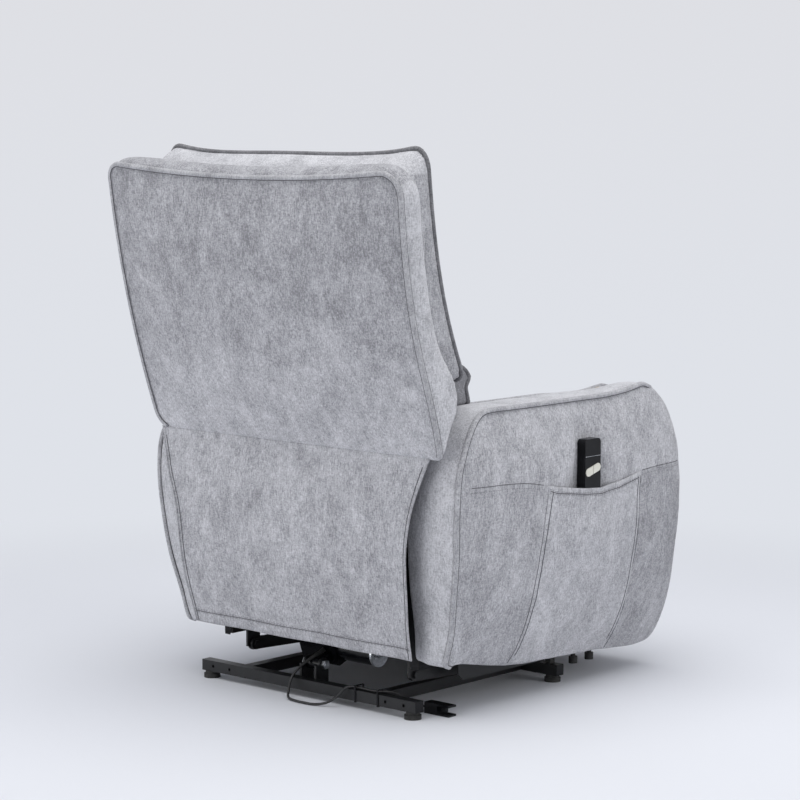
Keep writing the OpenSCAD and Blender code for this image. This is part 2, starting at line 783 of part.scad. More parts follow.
module arm_frame_panel() {
    side(arm_frame_x[0], arm_frame_x[1]) polygon(shrunk(arm_outline, 0.955));
}

module left_arm_inner_pad() {
    color(cloth) arm_pad_panel();
}
module left_arm_frame() {
    color(timber) arm_frame_panel();
}
module left_arm_cover() {
    color(cloth) arm_shell();
}
module right_arm_inner_pad() {
    color(cloth) mirror([1, 0, 0]) arm_pad_panel();
}
module right_arm_frame() {
    color(timber) mirror([1, 0, 0]) arm_frame_panel();
}

// Pocket on the right arm: a hollow behind a fabric panel that swells out over the handset
pocket_y = handset_y - 22;
pocket_half_y = 163;
pocket_low_z = 240;
pocket_t = 3;
hollow_half_y = 75;
function mouth_z(y) = handset_z + 60 + 20 * pow((y - handset_y) / 186, 2);
function panel_x(y, z) = arm_edge_x([y, z]) + fullness([y, z]) - 1.2
    + (z > handset_z - 40 ? 8 : 8 * max(0, z - pocket_low_z) / (handset_z - 40 - pocket_low_z))
        * exp(-pow((y - handset_y) / 70, 2));
function panel_inner_x(y, z) =
    z > handset_z - 12 && abs(y - handset_y) < hollow_half_y ? max(panel_x(y, z), handset_x + 0.6) : panel_x(y, z);

module pocket_panel(grow, inner, outer) {
    function at(i, j, x_off) =
        let (y = pocket_y + (pocket_half_y + grow) * grid_u(i), low = pocket_low_z - grow,
            z = low + grid_v(j) * (mouth_z(y) + grow - low))
        [panel_inner_x(y, z) + x_off, y, z];
    mirror([1, 0, 0]) cushion(
        [for (j = [0 : steps]) [for (i = [0 : steps]) at(i, j, outer)]],
        [for (j = [0 : steps]) [for (i = [0 : steps]) at(i, j, inner)]], 0);
}

module right_arm_cover() {
    color(cloth) difference() {
        mirror([1, 0, 0]) arm_shell();
        pocket_panel(touch, -touch, 12);
        // Hollow of the pocket, its upper side sloping out above the mouth
        mirror([1, 0, 0]) translate([0, handset_y + hollow_half_y, 0]) rotate([90, 0, 0])
            linear_extrude(2 * hollow_half_y) polygon([[pocket_back_x, handset_z - touch],
                [handset_x + 60, handset_z - touch], [handset_x + 60, handset_z + 120],
                [pocket_back_x, handset_z + 58]]);
        // Groove in the padding behind the handset
        mirror([1, 0, 0]) translate([pocket_back_x, handset_y - handset_w / 2 - 4, handset_z])
            cube([60, handset_w + 8, handset_h + 54]);
    }
}

module side_pocket() {
    color(cloth) pocket_panel(0, 0, pocket_t);
}

// Cloth that hangs behind the seat from the lower edge of the back, with soft upright folds
module rear_drape() {
    hem_z = 117;
    top = back_p0 + [0, -touch];
    hem = [292, hem_z];
    bulge = [346, 330];
    hem_half = 289;
    cloth_t = 2.4;
    function at(i, j, thick) =
        let (u = grid_u(i), v = grid_v(j), p = bez(hem, bulge, top, v), fold = 3 * sin(540 * u) * (1 - v))
        [u * (hem_half + (back_half_low - 9 - hem_half) * pow(v, 2.2)), p[0] + fold + thick, p[1]];
    color(cloth) cushion(
        [for (j = [0 : steps]) [for (i = [0 : steps]) at(i, j, -cloth_t / 2)]],
        [for (j = [0 : steps]) [for (i = [0 : steps]) at(i, j, cloth_t / 2)]], 0);
}

// ---------------------------------------------------------------- back

hinge = [recline_y, recline_z];
hinge_r = 16;
hinge_bolt_r = 6;
bracket_t = 4;
arm_t = 4.5;
hinge_arm_x = board_in - bracket_t - 1 - arm_t;

module recline_brackets() {
    foot_rear = board_rear_y - board_t - touch;
    color(black) pair() side(board_in - bracket_t, board_in) difference() {
        union() {
            disc(hinge, hinge_r);
            translate([recline_y - 20, box_z1 - 60]) square([foot_rear - recline_y + 20, 60 + eps]);
            polygon([[recline_y - 20, box_z1], [foot_rear, box_z1], hinge + [15, 0], hinge - [15, 0]]);
        }
        disc(hinge, hinge_bolt_r + fit);
    }
}

module recline_bolts() {
    color(steel) pair() {
        bolt(hinge, hinge_bolt_r, hinge_arm_x - 1, board_in);
        hex(hinge, 9, board_in, board_in + 6);
    }
}

// Slice of the back between two depths, from one share of its height to another
function back_slice(t0, t1, near, far) = concat(
    [for (k = [0 : 8]) back_at(t0 + (t1 - t0) * k / 8, near)],
    [for (k = [8 : -1 : 0]) back_at(t0 + (t1 - t0) * k / 8, far)]);

// Steel arms from the recline pivots to the back frame
module back_hinge_arms() {
    foot = back_at(0.055, frame_front + 1.6);
    head = back_at(0.125, frame_front + 1.6);
    color(black) pair() {
        side(hinge_arm_x, hinge_arm_x + arm_t) difference() {
            union() {
                disc(hinge, hinge_r);
                polygon([hinge + [hinge_r, 0], foot, head, head - [16, 8], hinge - [hinge_r, 0]]);
            }
            disc(hinge, hinge_bolt_r + fit);
        }
        side(hinge_arm_x, hinge_arm_x + 40)
            polygon(back_slice(0.045, 0.24, frame_front + touch, frame_front + strap_t));
    }
}

frame_half = back_half_low - 12;
rail_levels = [[0.03, 0.13], [0.46, 0.55], [0.86, 0.935]];
module back_rails() {
    color(timber) for (k = [0 : 2]) {
        half = frame_half - (k == 0 ? 28 : 0);
        side(-half, half) polygon(back_slice(rail_levels[k][0], rail_levels[k][1], frame_rear, frame_front));
    }
}

// Upright posts between the rails: outer ones all the way, inner ones behind the steel arms
module back_posts() {
    gap = 0.001;
    color(timber) pair() {
        for (k = [0, 1]) side(frame_half - 42, frame_half)
            polygon(back_slice(rail_levels[k][1] + gap, rail_levels[k + 1][0] - gap, frame_rear, frame_front));
        side(hinge_arm_x, hinge_arm_x + 40)
            polygon(back_slice(rail_levels[0][1] + gap, rail_levels[1][0] - gap, frame_rear, frame_front));
    }
}

// Padded rear cover: it wraps the sides and the top of the frame, and dips between its top corners
module back_rear_cover() {
    dip = 0.037;
    wrap = frame_front - cover_t;
    function at(i, j, rear) =
        let (u = grid_u(i), v = grid_v(j), w = 2 * v - 1, c = w > 0 ? corner(u, w) : 0,
            t = v * (1 - 0.014 * c - dip * (1 - u * u)),
            half = back_half_low + (back_half_top - back_half_low) * pow(t, 0.8),
            p = back_at(t, rear ? -14 * crown(u, w) : cover_t + wrap * min(1, 7 * v)))
        [u * half * (1 - 0.03 * c), p[0], p[1]];
    color(cloth) difference() {
        cushion(
            [for (j = [0 : steps]) [for (i = [0 : steps]) at(i, j, false)]],
            [for (j = [0 : steps]) [for (i = [0 : steps]) at(i, j, true)]], 3);
        side(-frame_half - touch, frame_half + touch)
            polygon(back_slice(-0.1, rail_levels[2][1] + 0.001, cover_t, frame_front + 40));
    }
}

// Small of the back: narrow between the arms, wider above them
module lumbar_cushion() {
    low_z = cushion_z1 + 24;
    high_z = back_at(0.23, 0)[1] + 10;
    narrow = hinge_arm_x - 4;
    wide = 300;
    function at(i, j, rear) =
        let (u = grid_u(i), v = grid_v(j), w = 2 * v - 1, z = low_z + (high_z - low_z) * v,
            half = z < arm_top_z + 16 ? narrow : wide,
            y = rear ? 248.6 + 46 * pow(v, 1.3) : 130 + 14 * v - 28 * crown(u, w))
        [u * half, y, z];
    color(cloth) cushion(
        [for (j = [0 : steps]) [for (i = [0 : steps]) at(i, j, false)]],
        [for (j = [0 : steps]) [for (i = [0 : steps]) at(i, j, true)]], 4);
}

// Head pillow: thick at its lower edge, with two raised top corners
module head_pillow() {
    t0 = 0.255;
    half = 342;
    low = [pillow_low_y, back_at(0.23, 0)[1] + 16];
    turn = [pillow_low_y + 62, low[1] + 0.39 * (back_top_z - low[1])];
    high = [pillow_low_y + 106, back_top_z + 22];
    function at(i, j, rear) =
        let (u = grid_u(i), v = grid_v(j), w = 2 * v - 1, c = corner(u, w),
            p = rear ? back_at(t0 + (0.95 - t0) * v, frame_front + touch)
                : bez(low, turn, high, v) - pillow_crown * crown(u, w) * [0.95, -0.3]
                    + [0, 16 * pow(v, 4) * u * u - (w > 0 ? 4 * c : 0)])
        [u * half * (1 - 0.035 * c), p[0], p[1]];
    color(cloth) cushion(
        [for (j = [0 : steps]) [for (i = [0 : steps]) at(i, j, false)]],
        [for (j = [0 : steps]) [for (i = [0 : steps]) at(i, j, true)]], 6);
}

// ---------------------------------------------------------------- footrest

// Rivet across two neighbouring link lanes, with a head on the side that is free
module rivet(p, lane0, lane1, head_out) {
    x0 = foot_lane(lane0);
    x1 = foot_lane(lane1) + link_t;
    bolt(p, rivet_r, x0, x1);
    head = 1.2;
    bolt(p, rivet_r + 3, head_out ? x1 : x0 - head, head_out ? x1 + head : x0);
}

module foot_link(lane, p, q, holes) {
    side(foot_lane(lane), foot_lane(lane) + link_t) difference() {
        link_shape(p, q, foot_link_r);
        for (h = holes) disc(h, rivet_r + fit);
    }
}

// Plates on the seat box with the fixed pivots of the footrest
module footrest_side_plates() {
    x0 = foot_lane(0);
    color(black) pair() {
        side(x0, x0 + link_t) difference() {
            polygon([swing_top + [-22, 37], swing_top + [-22, -5], swing_top + [-12, -13],
                stay_top + [12, -13], stay_top + [22, -5], stay_top + [22, 37]]);
            disc(swing_top, rivet_r + fit);
            disc(stay_top, rivet_r + fit);
        }
        for (p = [swing_top, stay_top]) bolt(p + [0, 27], 6, x0 + link_t - eps, board_in);
        rivet(swing_top, -1, 0, false);
        rivet(stay_top, 0, 1, true);
    }
}

module swing_links() {
    color(black) pair() {
        foot_link(-1, swing_top, swing_low, [swing_top, swing_low]);
    }
}

module stay_links() {
    color(black) pair() {
        foot_link(1, stay_top, stay_low, [stay_top, stay_low]);
        rivet(stay_mid, 1, 2, true);
    }
}

module carrier_links() {
    color(black) pair() {
        side(foot_lane(0), foot_lane(0) + link_t) {
            link_shape(swing_low, stay_low, foot_link_r);
            link_shape(stay_low, carrier_end, foot_link_r);
        }
        rivet(swing_low, -1, 0, false);
        rivet(stay_low, 0, 1, true);
        rivet(carrier_end, 0, 1, false);
    }
}

module top_links() {
    color(black) pair() foot_link(2, stay_mid, bracket_end, [stay_mid, bracket_end]);
}

module footrest_brackets() {
    x0 = foot_lane(1);
    color(black) pair() {
        side(x0, x0 + link_t) difference() {
            union() {
                link_shape(carrier_end, bracket_end, foot_link_r);
                polygon([carrier_end + [8, -8], bracket_end + [8, 0], [board_back_y, bracket_end[1] + 4],
                    [board_back_y, carrier_end[1] - 26]]);
            }
            disc(carrier_end, rivet_r + fit);
        }
        rivet(bracket_end, 1, 2, false);
    }
}

module footrest_board() {
    color(timber) translate([-board_in, board_back_y - foot_board_t, foot_low_z + 4])
        cube([2 * board_in, foot_board_t, foot_top_z - foot_low_z - 8]);
}

module footrest_pad() {
    rear_y = board_back_y - foot_board_t - touch;
    mid_z = (foot_low_z + foot_top_z) / 2;
    half_z = (foot_top_z - foot_low_z) / 2;
    function at(i, j, front) =
        let (u = grid_u(i), v = grid_v(j), w = 2 * v - 1, c = corner(u, w))
        [foot_pad_half * u * (1 - 0.04 * c), front ? rear_y - foot_pad_t - 10 * crown(u, w) : rear_y,
            mid_z + half_z * w * (1 - 0.1 * c)];
    color(cloth) cushion(
        [for (j = [0 : steps]) [for (i = [0 : steps]) at(i, j, true)]],
        [for (j = [0 : steps]) [for (i = [0 : steps]) at(i, j, false)]], 4);
}

// ---------------------------------------------------------------- handset

// Slanted pill across the face of the handset, in the side view
module pill(r) {
    reach = (handset_w / 2 - 2 - button_r) / cos(button_turn);
    translate([handset_y, handset_z + 0.62 * handset_h]) rotate(-button_turn) {
        square([2 * reach, 2 * r], center = true);
        translate([reach, 0]) circle(r = r, $fn = 48);
        translate([-reach, 0]) circle(r = r, $fn = 48);
    }
}

module handset_body() {
    r = 9;
    y0 = handset_y - handset_w / 2;
    color(black) mirror([1, 0, 0]) difference() {
        side(handset_x - handset_t, handset_x) {
            translate([y0, handset_z + r]) square([handset_w, handset_h - 2 * r]);
            translate([y0 + r, handset_z]) square([handset_w - 2 * r, handset_h]);
            for (y = [y0 + r, y0 + handset_w - r], z = [handset_z + r, handset_z + handset_h - r])
                disc([y, z], r);
        }
        side(handset_x - button_depth, handset_x + 1) pill(button_r + 0.4);
    }
}

// One half of the pill; it sits proud of the handset's face
module button_half(front) {
    color("#e8e4da") mirror([1, 0, 0])
        side(handset_x - button_depth + 1.6, handset_x + button_lift) intersection() {
            pill(button_r);
            translate([front ? handset_y - 40.8 : handset_y + 0.8, handset_z]) square([40, handset_h]);
        }
}
module raise_button() {
    button_half(true);
}
module lower_button() {
    button_half(false);
}

base_rear_rail();
base_side_rails();
base_front_rail();
rail_end_caps();
rubber_feet();
rest_pads();
actuator_clevis();
clevis_bolt();
lift_pivot_brackets();
lift_base_bolts();
power_lead();
lead_ties();
lead_connector();
rear_lift_links();
lift_torque_tube();
drive_crank();
crank_pin();
front_lift_links();
gearbox_housing();
motor();
motor_end_cap();
actuator_tube();
actuator_rod();
lift_frame_rails();
lift_cross_tubes();
lift_pivot_plates();
lift_frame_bolts();
frame_bumpers();
seat_side_boards();
seat_cross_boards();
seat_springs();
seat_cushion();
left_arm_inner_pad();
left_arm_frame();
left_arm_cover();
right_arm_inner_pad();
right_arm_frame();
right_arm_cover();
side_pocket();
rear_drape();
recline_brackets();
recline_bolts();
back_hinge_arms();
back_posts();
back_rails();
back_rear_cover();
lumbar_cushion();
head_pillow();
footrest_side_plates();
swing_links();
stay_links();
carrier_links();
top_links();
footrest_brackets();
footrest_board();
footrest_pad();
handset_body();
raise_button();
lower_button();
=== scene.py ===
import math
import bmesh
import bpy
import numpy as np
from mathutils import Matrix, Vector, noise
from mathutils.bvhtree import BVHTree
from mathutils.kdtree import KDTree


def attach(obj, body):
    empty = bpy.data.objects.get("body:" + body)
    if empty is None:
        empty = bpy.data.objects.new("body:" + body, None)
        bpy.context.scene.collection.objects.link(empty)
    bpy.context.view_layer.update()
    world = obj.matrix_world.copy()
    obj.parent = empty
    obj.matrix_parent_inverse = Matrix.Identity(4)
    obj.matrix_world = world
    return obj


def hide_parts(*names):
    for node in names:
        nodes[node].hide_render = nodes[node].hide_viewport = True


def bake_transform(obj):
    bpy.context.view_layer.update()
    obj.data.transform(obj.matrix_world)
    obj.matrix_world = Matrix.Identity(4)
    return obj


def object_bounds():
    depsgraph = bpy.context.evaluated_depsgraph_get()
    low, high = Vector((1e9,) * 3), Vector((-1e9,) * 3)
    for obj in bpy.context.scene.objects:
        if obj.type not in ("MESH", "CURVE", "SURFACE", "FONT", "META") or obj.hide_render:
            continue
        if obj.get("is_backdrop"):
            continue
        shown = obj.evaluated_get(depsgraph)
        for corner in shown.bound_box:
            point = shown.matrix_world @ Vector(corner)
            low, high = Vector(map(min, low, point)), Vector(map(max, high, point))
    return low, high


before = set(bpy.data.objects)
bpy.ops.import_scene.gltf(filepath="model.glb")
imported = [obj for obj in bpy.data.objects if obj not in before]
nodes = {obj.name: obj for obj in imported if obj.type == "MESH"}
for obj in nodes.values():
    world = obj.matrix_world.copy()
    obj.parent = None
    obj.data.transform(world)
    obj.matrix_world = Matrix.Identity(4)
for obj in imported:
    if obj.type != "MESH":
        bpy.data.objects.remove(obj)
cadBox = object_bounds()
scene = bpy.context.scene
print("frame loaded")

# camera
camera = {"place": (-3.66404, 4.04266, 1.20692), "aim": (0.02208, -0.020, 0.55872),
          "lens": 123.19, "sensor": 36}


def linked(name, data):
    made = bpy.data.objects.new(name, data)
    scene.collection.objects.link(made)
    return made


# a camera or a lamp at its place, turned towards its aim
def aimed(name, data, place, aim):
    made = linked(name, data)
    made.location = place
    made.rotation_mode = "QUATERNION"
    made.rotation_quaternion = (Vector(aim) - Vector(place)).to_track_quat("-Z", "Y")
    return made


cameraData = bpy.data.cameras.new("camera")
cameraData.lens = camera["lens"]
cameraData.sensor_width = camera["sensor"]
scene.camera = aimed("camera", cameraData, camera["place"], camera["aim"])


# a new node with its settings; its inputs go by name or by number
def addNode(tree, kind, inputs=None, **settings):
    made = tree.nodes.new(kind)
    for key, value in settings.items():
        setattr(made, key, value)
    for key, value in (inputs or {}).items():
        if isinstance(key, str):
            place = next(i for i in made.inputs if i.name == key and i.enabled)
        else:
            place = made.inputs[key]
        if isinstance(value, bpy.types.NodeSocket):
            tree.links.new(value, place)
        else:
            place.default_value = value
    return made


# materials: a small helper for patterns, ramps and sums
class Shader:
    def __init__(self, name, **settings):
        self.material = bpy.data.materials.new(name)
        self.material.use_nodes = True
        self.tree = self.material.node_tree
        self.principled = self.tree.nodes["Principled BSDF"]
        for key, value in settings.items():
            self.principled.inputs[key.replace("_", " ")].default_value = value
        self.coords = self.node("ShaderNodeTexCoord")

    def link(self, source, target):
        self.tree.links.new(source, target)

    def node(self, kind, inputs=None, **settings):
        return addNode(self.tree, kind, inputs, **settings)

    def place(self, scale=(1, 1, 1)):
        inputs = {"Vector": self.coords.outputs["Object"], "Scale": scale}
        return self.node("ShaderNodeMapping", inputs).outputs[0]

    def noise(self, vector, scale, detail=2, rough=0.5, bend=0.0):
        inputs = {"Vector": vector, "Scale": scale, "Detail": detail, "Roughness": rough, "Distortion": bend}
        return self.node("ShaderNodeTexNoise", inputs).outputs[0]

    def math(self, kind, a, b=0.0):
        return self.node("ShaderNodeMath", {0: a, 1: b}, operation=kind).outputs[0]

    def weighted(self, *parts):
        total = None
        for value, weight in parts:
            part = self.math("MULTIPLY", value, weight)
            total = part if total is None else self.math("ADD", total, part)
        return total

    def span(self, value, low, high, toLow=0.0, toHigh=1.0):
        return self.node("ShaderNodeMapRange", {0: value, 1: low, 2: high, 3: toLow, 4: toHigh}).outputs[0]

    def ramp(self, value, stops):
        made = self.node("ShaderNodeValToRGB", {0: value})
        while len(made.color_ramp.elements) < len(stops):
            made.color_ramp.elements.new(0.5)
        for element, (place, colour) in zip(made.color_ramp.elements, stops):
            element.position = place
            element.color = (*colour, 1)
        return made.outputs[0]

    def finish(self, colour, rough=None, height=None, strength=0.3, distance=0.001):
        self.link(colour, self.principled.inputs["Base Color"])
        if rough is not None:
            self.link(rough, self.principled.inputs["Roughness"])
        if height is not None:
            bump = self.node("ShaderNodeBump", {"Height": height, "Strength": strength, "Distance": distance})
            self.link(bump.outputs[0], self.principled.inputs["Normal"])
        return self.material


def makeChenille(name, dark, mid, light):
    s = Shader(name, Roughness=0.95, Sheen_Weight=0.18, Sheen_Roughness=0.5, Specular_IOR_Level=0.15)
    cloudy = s.noise(s.place((1, 1, 0.7)), 15, 4, 0.62, 0.5)
    blotch = s.noise(s.place((1, 1, 0.6)), 48, 3, 0.65, 0.3)
    upright = s.noise(s.place((1, 1, 0.24)), 400, 2, 0.6)
    level = s.noise(s.place((0.3, 0.3, 1)), 400, 2, 0.6)
    facing = s.node("ShaderNodeSeparateXYZ", {0: s.coords.outputs["Normal"]}).outputs[2]
    steep = s.math("SUBTRACT", 1.0, s.math("ABSOLUTE", facing))
    rows = s.math("MULTIPLY", s.math("SUBTRACT", level, 0.5), steep)
    columns = s.math("SUBTRACT", upright, 0.5)
    grain = s.noise(s.place(), 330, 3, 0.65)
    # a tone for each point: pile direction, and in places painted light and shade
    nap_and_shade = s.node("ShaderNodeAttribute", attribute_name="nap_and_shade").outputs["Fac"]
    tone = s.weighted((cloudy, 0.55), (blotch, 0.45), (columns, 0.8), (rows, 0.45),
                      (s.math("SUBTRACT", grain, 0.5), 0.75), (nap_and_shade, 0.3))
    colour = s.ramp(tone, [(0.2, dark), (0.5, mid), (0.8, light)])
    height = s.weighted((columns, 1.0), (rows, 1.0), (grain, 0.7))
    return s.finish(colour, s.span(blotch, 0.3, 0.7, 0.88, 0.98), height, 0.6, 0.0012)


chenille = makeChenille("chenille_cloth", (0.21, 0.211, 0.228), (0.398, 0.399, 0.425), (0.60, 0.602, 0.632))
weltCloth = makeChenille("welt_cloth", (0.22, 0.221, 0.235), (0.375, 0.376, 0.40), (0.54, 0.542, 0.568))
pipingCloth = makeChenille("piping_cloth", (0.10, 0.10, 0.109), (0.18, 0.18, 0.193), (0.28, 0.281, 0.298))


# colour, gloss and relief from one pattern
def grained(name, pattern, stops, gloss=None, relief=None, stretch=(1, 1, 1), **settings):
    s = Shader(name, **settings)
    grain = s.noise(s.place(stretch), *pattern)
    rough = s.span(grain, *gloss) if gloss else None
    if relief is None:
        return s.finish(s.ramp(grain, stops), rough)
    return s.finish(s.ramp(grain, stops), rough, grain, *relief)


def makePaint():
    s = Shader("black_powder_paint", Roughness=0.4, Specular_IOR_Level=0.38)
    orange = s.noise(s.place(), 900, 2)
    worn = s.noise(s.place(), 28, 5, 0.7)
    stops = [(0.35, (0.006, 0.0062, 0.0075)), (0.62, (0.010, 0.0105, 0.012)), (0.8, (0.022, 0.023, 0.026))]
    return s.finish(s.ramp(worn, stops), s.span(worn, 0.3, 0.8, 0.32, 0.52), orange, 0.12, 0.0003)


def makeZinc():
    s = Shader("zinc_plate", Metallic=1.0, Roughness=0.3)
    spangle = s.node("ShaderNodeTexVoronoi", {"Vector": s.place(), "Scale": 260.0}).outputs["Distance"]
    stain = s.noise(s.place(), 60, 4, 0.6)
    tone = s.weighted((spangle, 0.4), (stain, 0.6))
    colour = s.ramp(tone, [(0.25, (0.34, 0.36, 0.39)), (0.6, (0.62, 0.64, 0.67))])
    return s.finish(colour, s.span(stain, 0.3, 0.7, 0.22, 0.42), spangle, 0.08, 0.0004)


def makePlastic(name, low, high, rough):
    s = Shader(name, Roughness=rough, Specular_IOR_Level=0.22)
    pebble = s.noise(s.place(), 1400, 2)
    cloud = s.noise(s.place(), 40, 3)
    gloss = s.span(cloud, 0.3, 0.7, rough - 0.05, rough + 0.07)
    return s.finish(s.ramp(cloud, [(0.35, low), (0.65, high)]), gloss, pebble, 0.1, 0.0002)


def makePlywood(name, low, high):
    s = Shader(name, Roughness=0.65, Specular_IOR_Level=0.3)
    grain = s.noise(s.place((1, 0.08, 1)), 120, 4, 0.6, 0.4)
    layers = {"Vector": s.place(), "Scale": 95.0, "Distortion": 0.6, "Detail": 2.0}
    ply = s.node("ShaderNodeTexWave", layers, bands_direction="X").outputs["Fac"]
    tone = s.weighted((grain, 0.7), (ply, 0.3))
    return s.finish(s.ramp(tone, [(0.25, low), (0.75, high)]), None, grain, 0.2, 0.0005)


thread = grained("seam_thread", (2200, 1), [(0.3, (0.16, 0.16, 0.175)), (0.7, (0.27, 0.27, 0.29))],
                 relief=(0.3, 0.0003), Roughness=0.7, Specular_IOR_Level=0.3)
seamShade = grained("seam_shade", (1500, 1), [(0.3, (0.085, 0.085, 0.092)), (0.7, (0.145, 0.146, 0.156))],
                    Roughness=0.95, Specular_IOR_Level=0.1)
dustCloth = grained("dust_cloth", (700, 3), [(0.3, (0.012, 0.012, 0.013)), (0.7, (0.03, 0.03, 0.033))],
                    relief=(0.3, 0.0004), stretch=(1, 0.2, 1), Roughness=0.9, Specular_IOR_Level=0.15)
turnedSteel = grained("bare_steel", (700, 2), [(0.3, (0.40, 0.40, 0.41)), (0.7, (0.60, 0.60, 0.61))],
                      (0.3, 0.7, 0.24, 0.4), (0.12, 0.0002), (0.15, 1, 1), Metallic=1.0, Roughness=0.3)
rubber = grained("black_rubber", (90, 4, 0.7), [(0.35, (0.012, 0.012, 0.012)), (0.75, (0.05, 0.05, 0.048))],
                 (0.3, 0.8, 0.55, 0.8), (0.2, 0.0004), Roughness=0.7, Specular_IOR_Level=0.35)
jacket = grained("cable_jacket", (160, 3, 0.6), [(0.35, (0.010, 0.010, 0.011)), (0.75, (0.03, 0.03, 0.032))],
                 (0.3, 0.7, 0.36, 0.55), (0.1, 0.0002), Roughness=0.42, Specular_IOR_Level=0.5)
# plywood made nearly black for the seat boards
darkBoard = makePlywood("dark_board", (0.010, 0.009, 0.008), (0.028, 0.025, 0.022))
bySlot = {
    "chenille": chenille,
    "plywood": makePlywood("plywood", (0.30, 0.19, 0.10), (0.58, 0.43, 0.26)),
    "black_paint": makePaint(),
    "zinc_steel": makeZinc(),
    "bare_steel": turnedSteel,
    "black_plastic": makePlastic("black_plastic", (0.003, 0.0031, 0.004), (0.006, 0.0063, 0.008), 0.2),
    "black_rubber": rubber,
    "cable_sheath": jacket,
    "button_plastic": makePlastic("button_plastic", (0.66, 0.65, 0.58), (0.74, 0.73, 0.67), 0.4),
}
byNode = {
    "lift_frame_bolts": bySlot["black_paint"],
    "seat_side_boards": darkBoard,
    "seat_cross_boards": darkBoard,
}
for nodeName, node in nodes.items():
    for place in node.material_slots:
        slotName = place.material.name.split(".")[0] if place.material else None
        place.material = byNode.get(nodeName, bySlot.get(slotName, place.material))
print("materials made")

# edges of the hard pieces: welded first, then a small bevel
edges = {"widths": {"handset_body": 2.2, "raise_button": 0.7, "lower_button": 0.7}, "weld": 0.02, "angle": 40}
for nodeName, width in edges["widths"].items():
    weld = nodes[nodeName].modifiers.new("weld", "WELD")
    weld.merge_threshold = edges["weld"] / 1000
    bevel = nodes[nodeName].modifiers.new("edges", "BEVEL")
    bevel.width = width / 1000
    bevel.segments = 3
    bevel.limit_method = "ANGLE"
    bevel.angle_limit = math.radians(edges["angle"])
    bevel.harden_normals = True


# shape helpers: numbers in millimetres, meshes in metres


# places at even steps along a line
def evenly(line, count, closed=False):
    run = np.r_[0, np.cumsum(np.linalg.norm(np.diff(line, axis=0), axis=1))]
    at = np.linspace(0, run[-1], count + 1)[:-1] if closed else np.linspace(0, run[-1], count)
    return np.stack([np.interp(at, run, line[:, k]) for k in range(line.shape[1])], 1)


# a smooth curve through the points
def resample(points, count, closed=False):
    p = np.asarray(points, float)
    n = len(p)
    dense = []
    for i in range(n if closed else n - 1):
        near = [(i + k) % n if closed else min(max(i + k, 0), n - 1) for k in (-1, 0, 1, 2)]
        a, b, c, d = p[near]
        curve, twist = 2 * a - 5 * b + 4 * c - d, 3 * b - a - 3 * c + d
        for t in np.linspace(0, 1, 12, endpoint=False):
            dense.append(0.5 * (2 * b + (c - a) * t + curve * t * t + twist * t ** 3))
    dense.append(p[0] if closed else p[-1])
    return evenly(np.array(dense), count, closed)


def smooth(x, low, high):
    t = np.clip((np.asarray(x, float) - low) / (high - low), 0, 1)
    return t * t * (3 - 2 * t)


def unit(vectors):
    return vectors / np.linalg.norm(vectors, axis=-1)[..., None]


def lengthOf(line):
    return float(np.linalg.norm(np.diff(line, axis=0), axis=1).sum())


def meshObject(name, points, faces, material, outward=True):
    mesh = bpy.data.meshes.new(name)
    mesh.from_pydata((np.asarray(points, float) / 1000).tolist(), [], [[int(i) for i in f] for f in faces])
    if outward:
        work = bmesh.new()
        work.from_mesh(mesh)
        bmesh.ops.recalc_face_normals(work, faces=work.faces)
        work.to_mesh(mesh)
        work.free()
    mesh.polygons.foreach_set("use_smooth", [True] * len(mesh.polygons))
    mesh.materials.append(material)
    return linked(name, mesh)


# rings of points to a skin, with a tip at either end
def ringMesh(rings, tips=True):
    rings = np.asarray(rings, float)
    count, size = rings.shape[:2]
    points = rings.reshape(-1, 3)
    faces = []
    for k in range(count - 1):
        for i in range(size):
            q = (i + 1) % size
            faces.append((k * size + i, k * size + q, (k + 1) * size + q, (k + 1) * size + i))
    if tips:
        points = np.vstack([points, rings[0].mean(0), rings[-1].mean(0)])
        first, last = len(points) - 2, len(points) - 1
        base = (count - 1) * size
        for i in range(size):
            q = (i + 1) % size
            faces += [(first, q, i), (last, base + i, base + q)]
    return points, faces


# a thin sheet: two layers of n rows of m points, closed round the rim
def sheetFaces(n, m):
    faces, far = [], n * m
    for j in range(n - 1):
        for k in range(j * m, j * m + m - 1):
            faces.append((k, k + 1, k + m + 1, k + m))
            faces.append((far + k, far + k + m, far + k + m + 1, far + k + 1))
    rim = [*range(m), *(j * m + m - 1 for j in range(1, n))]
    rim += [*((n - 1) * m + i for i in range(m - 2, -1, -1)), *(j * m for j in range(n - 2, 0, -1))]
    for p, q in zip(rim, rim[1:] + rim[:1]):
        faces.append((p, q, far + q, far + p))
    return faces


def tubeRings(path, radius, sides, closed):
    path = np.asarray(path, float)
    n = len(path)
    radius = np.broadcast_to(np.asarray(radius, float), (n,))
    if closed:
        heading = np.roll(path, -1, 0) - np.roll(path, 1, 0)
    else:
        heading = np.gradient(path, axis=0)
    heading /= np.linalg.norm(heading, axis=1)[:, None] + 1e-12
    up = np.array([1.0, 0.3, 0.2])
    up -= up @ heading[0] * heading[0]
    frames = []
    for h in heading:
        up = up - up @ h * h
        up /= np.linalg.norm(up)
        frames.append(up.copy())
    frames = np.array(frames)
    if closed:
        last = frames[-1] - frames[-1] @ heading[0] * heading[0]
        last /= np.linalg.norm(last)
        gap = math.atan2(np.cross(frames[0], last) @ heading[0], frames[0] @ last)
        for k in range(n):
            a = -gap * k / n
            frames[k] = frames[k] * math.cos(a) + np.cross(heading[k], frames[k]) * math.sin(a)
    side = np.cross(heading, frames)
    turn = np.arange(sides) * 2 * math.pi / sides
    return path[:, None] + radius[:, None, None] * (
        np.cos(turn)[None, :, None] * frames[:, None] + np.sin(turn)[None, :, None] * side[:, None])


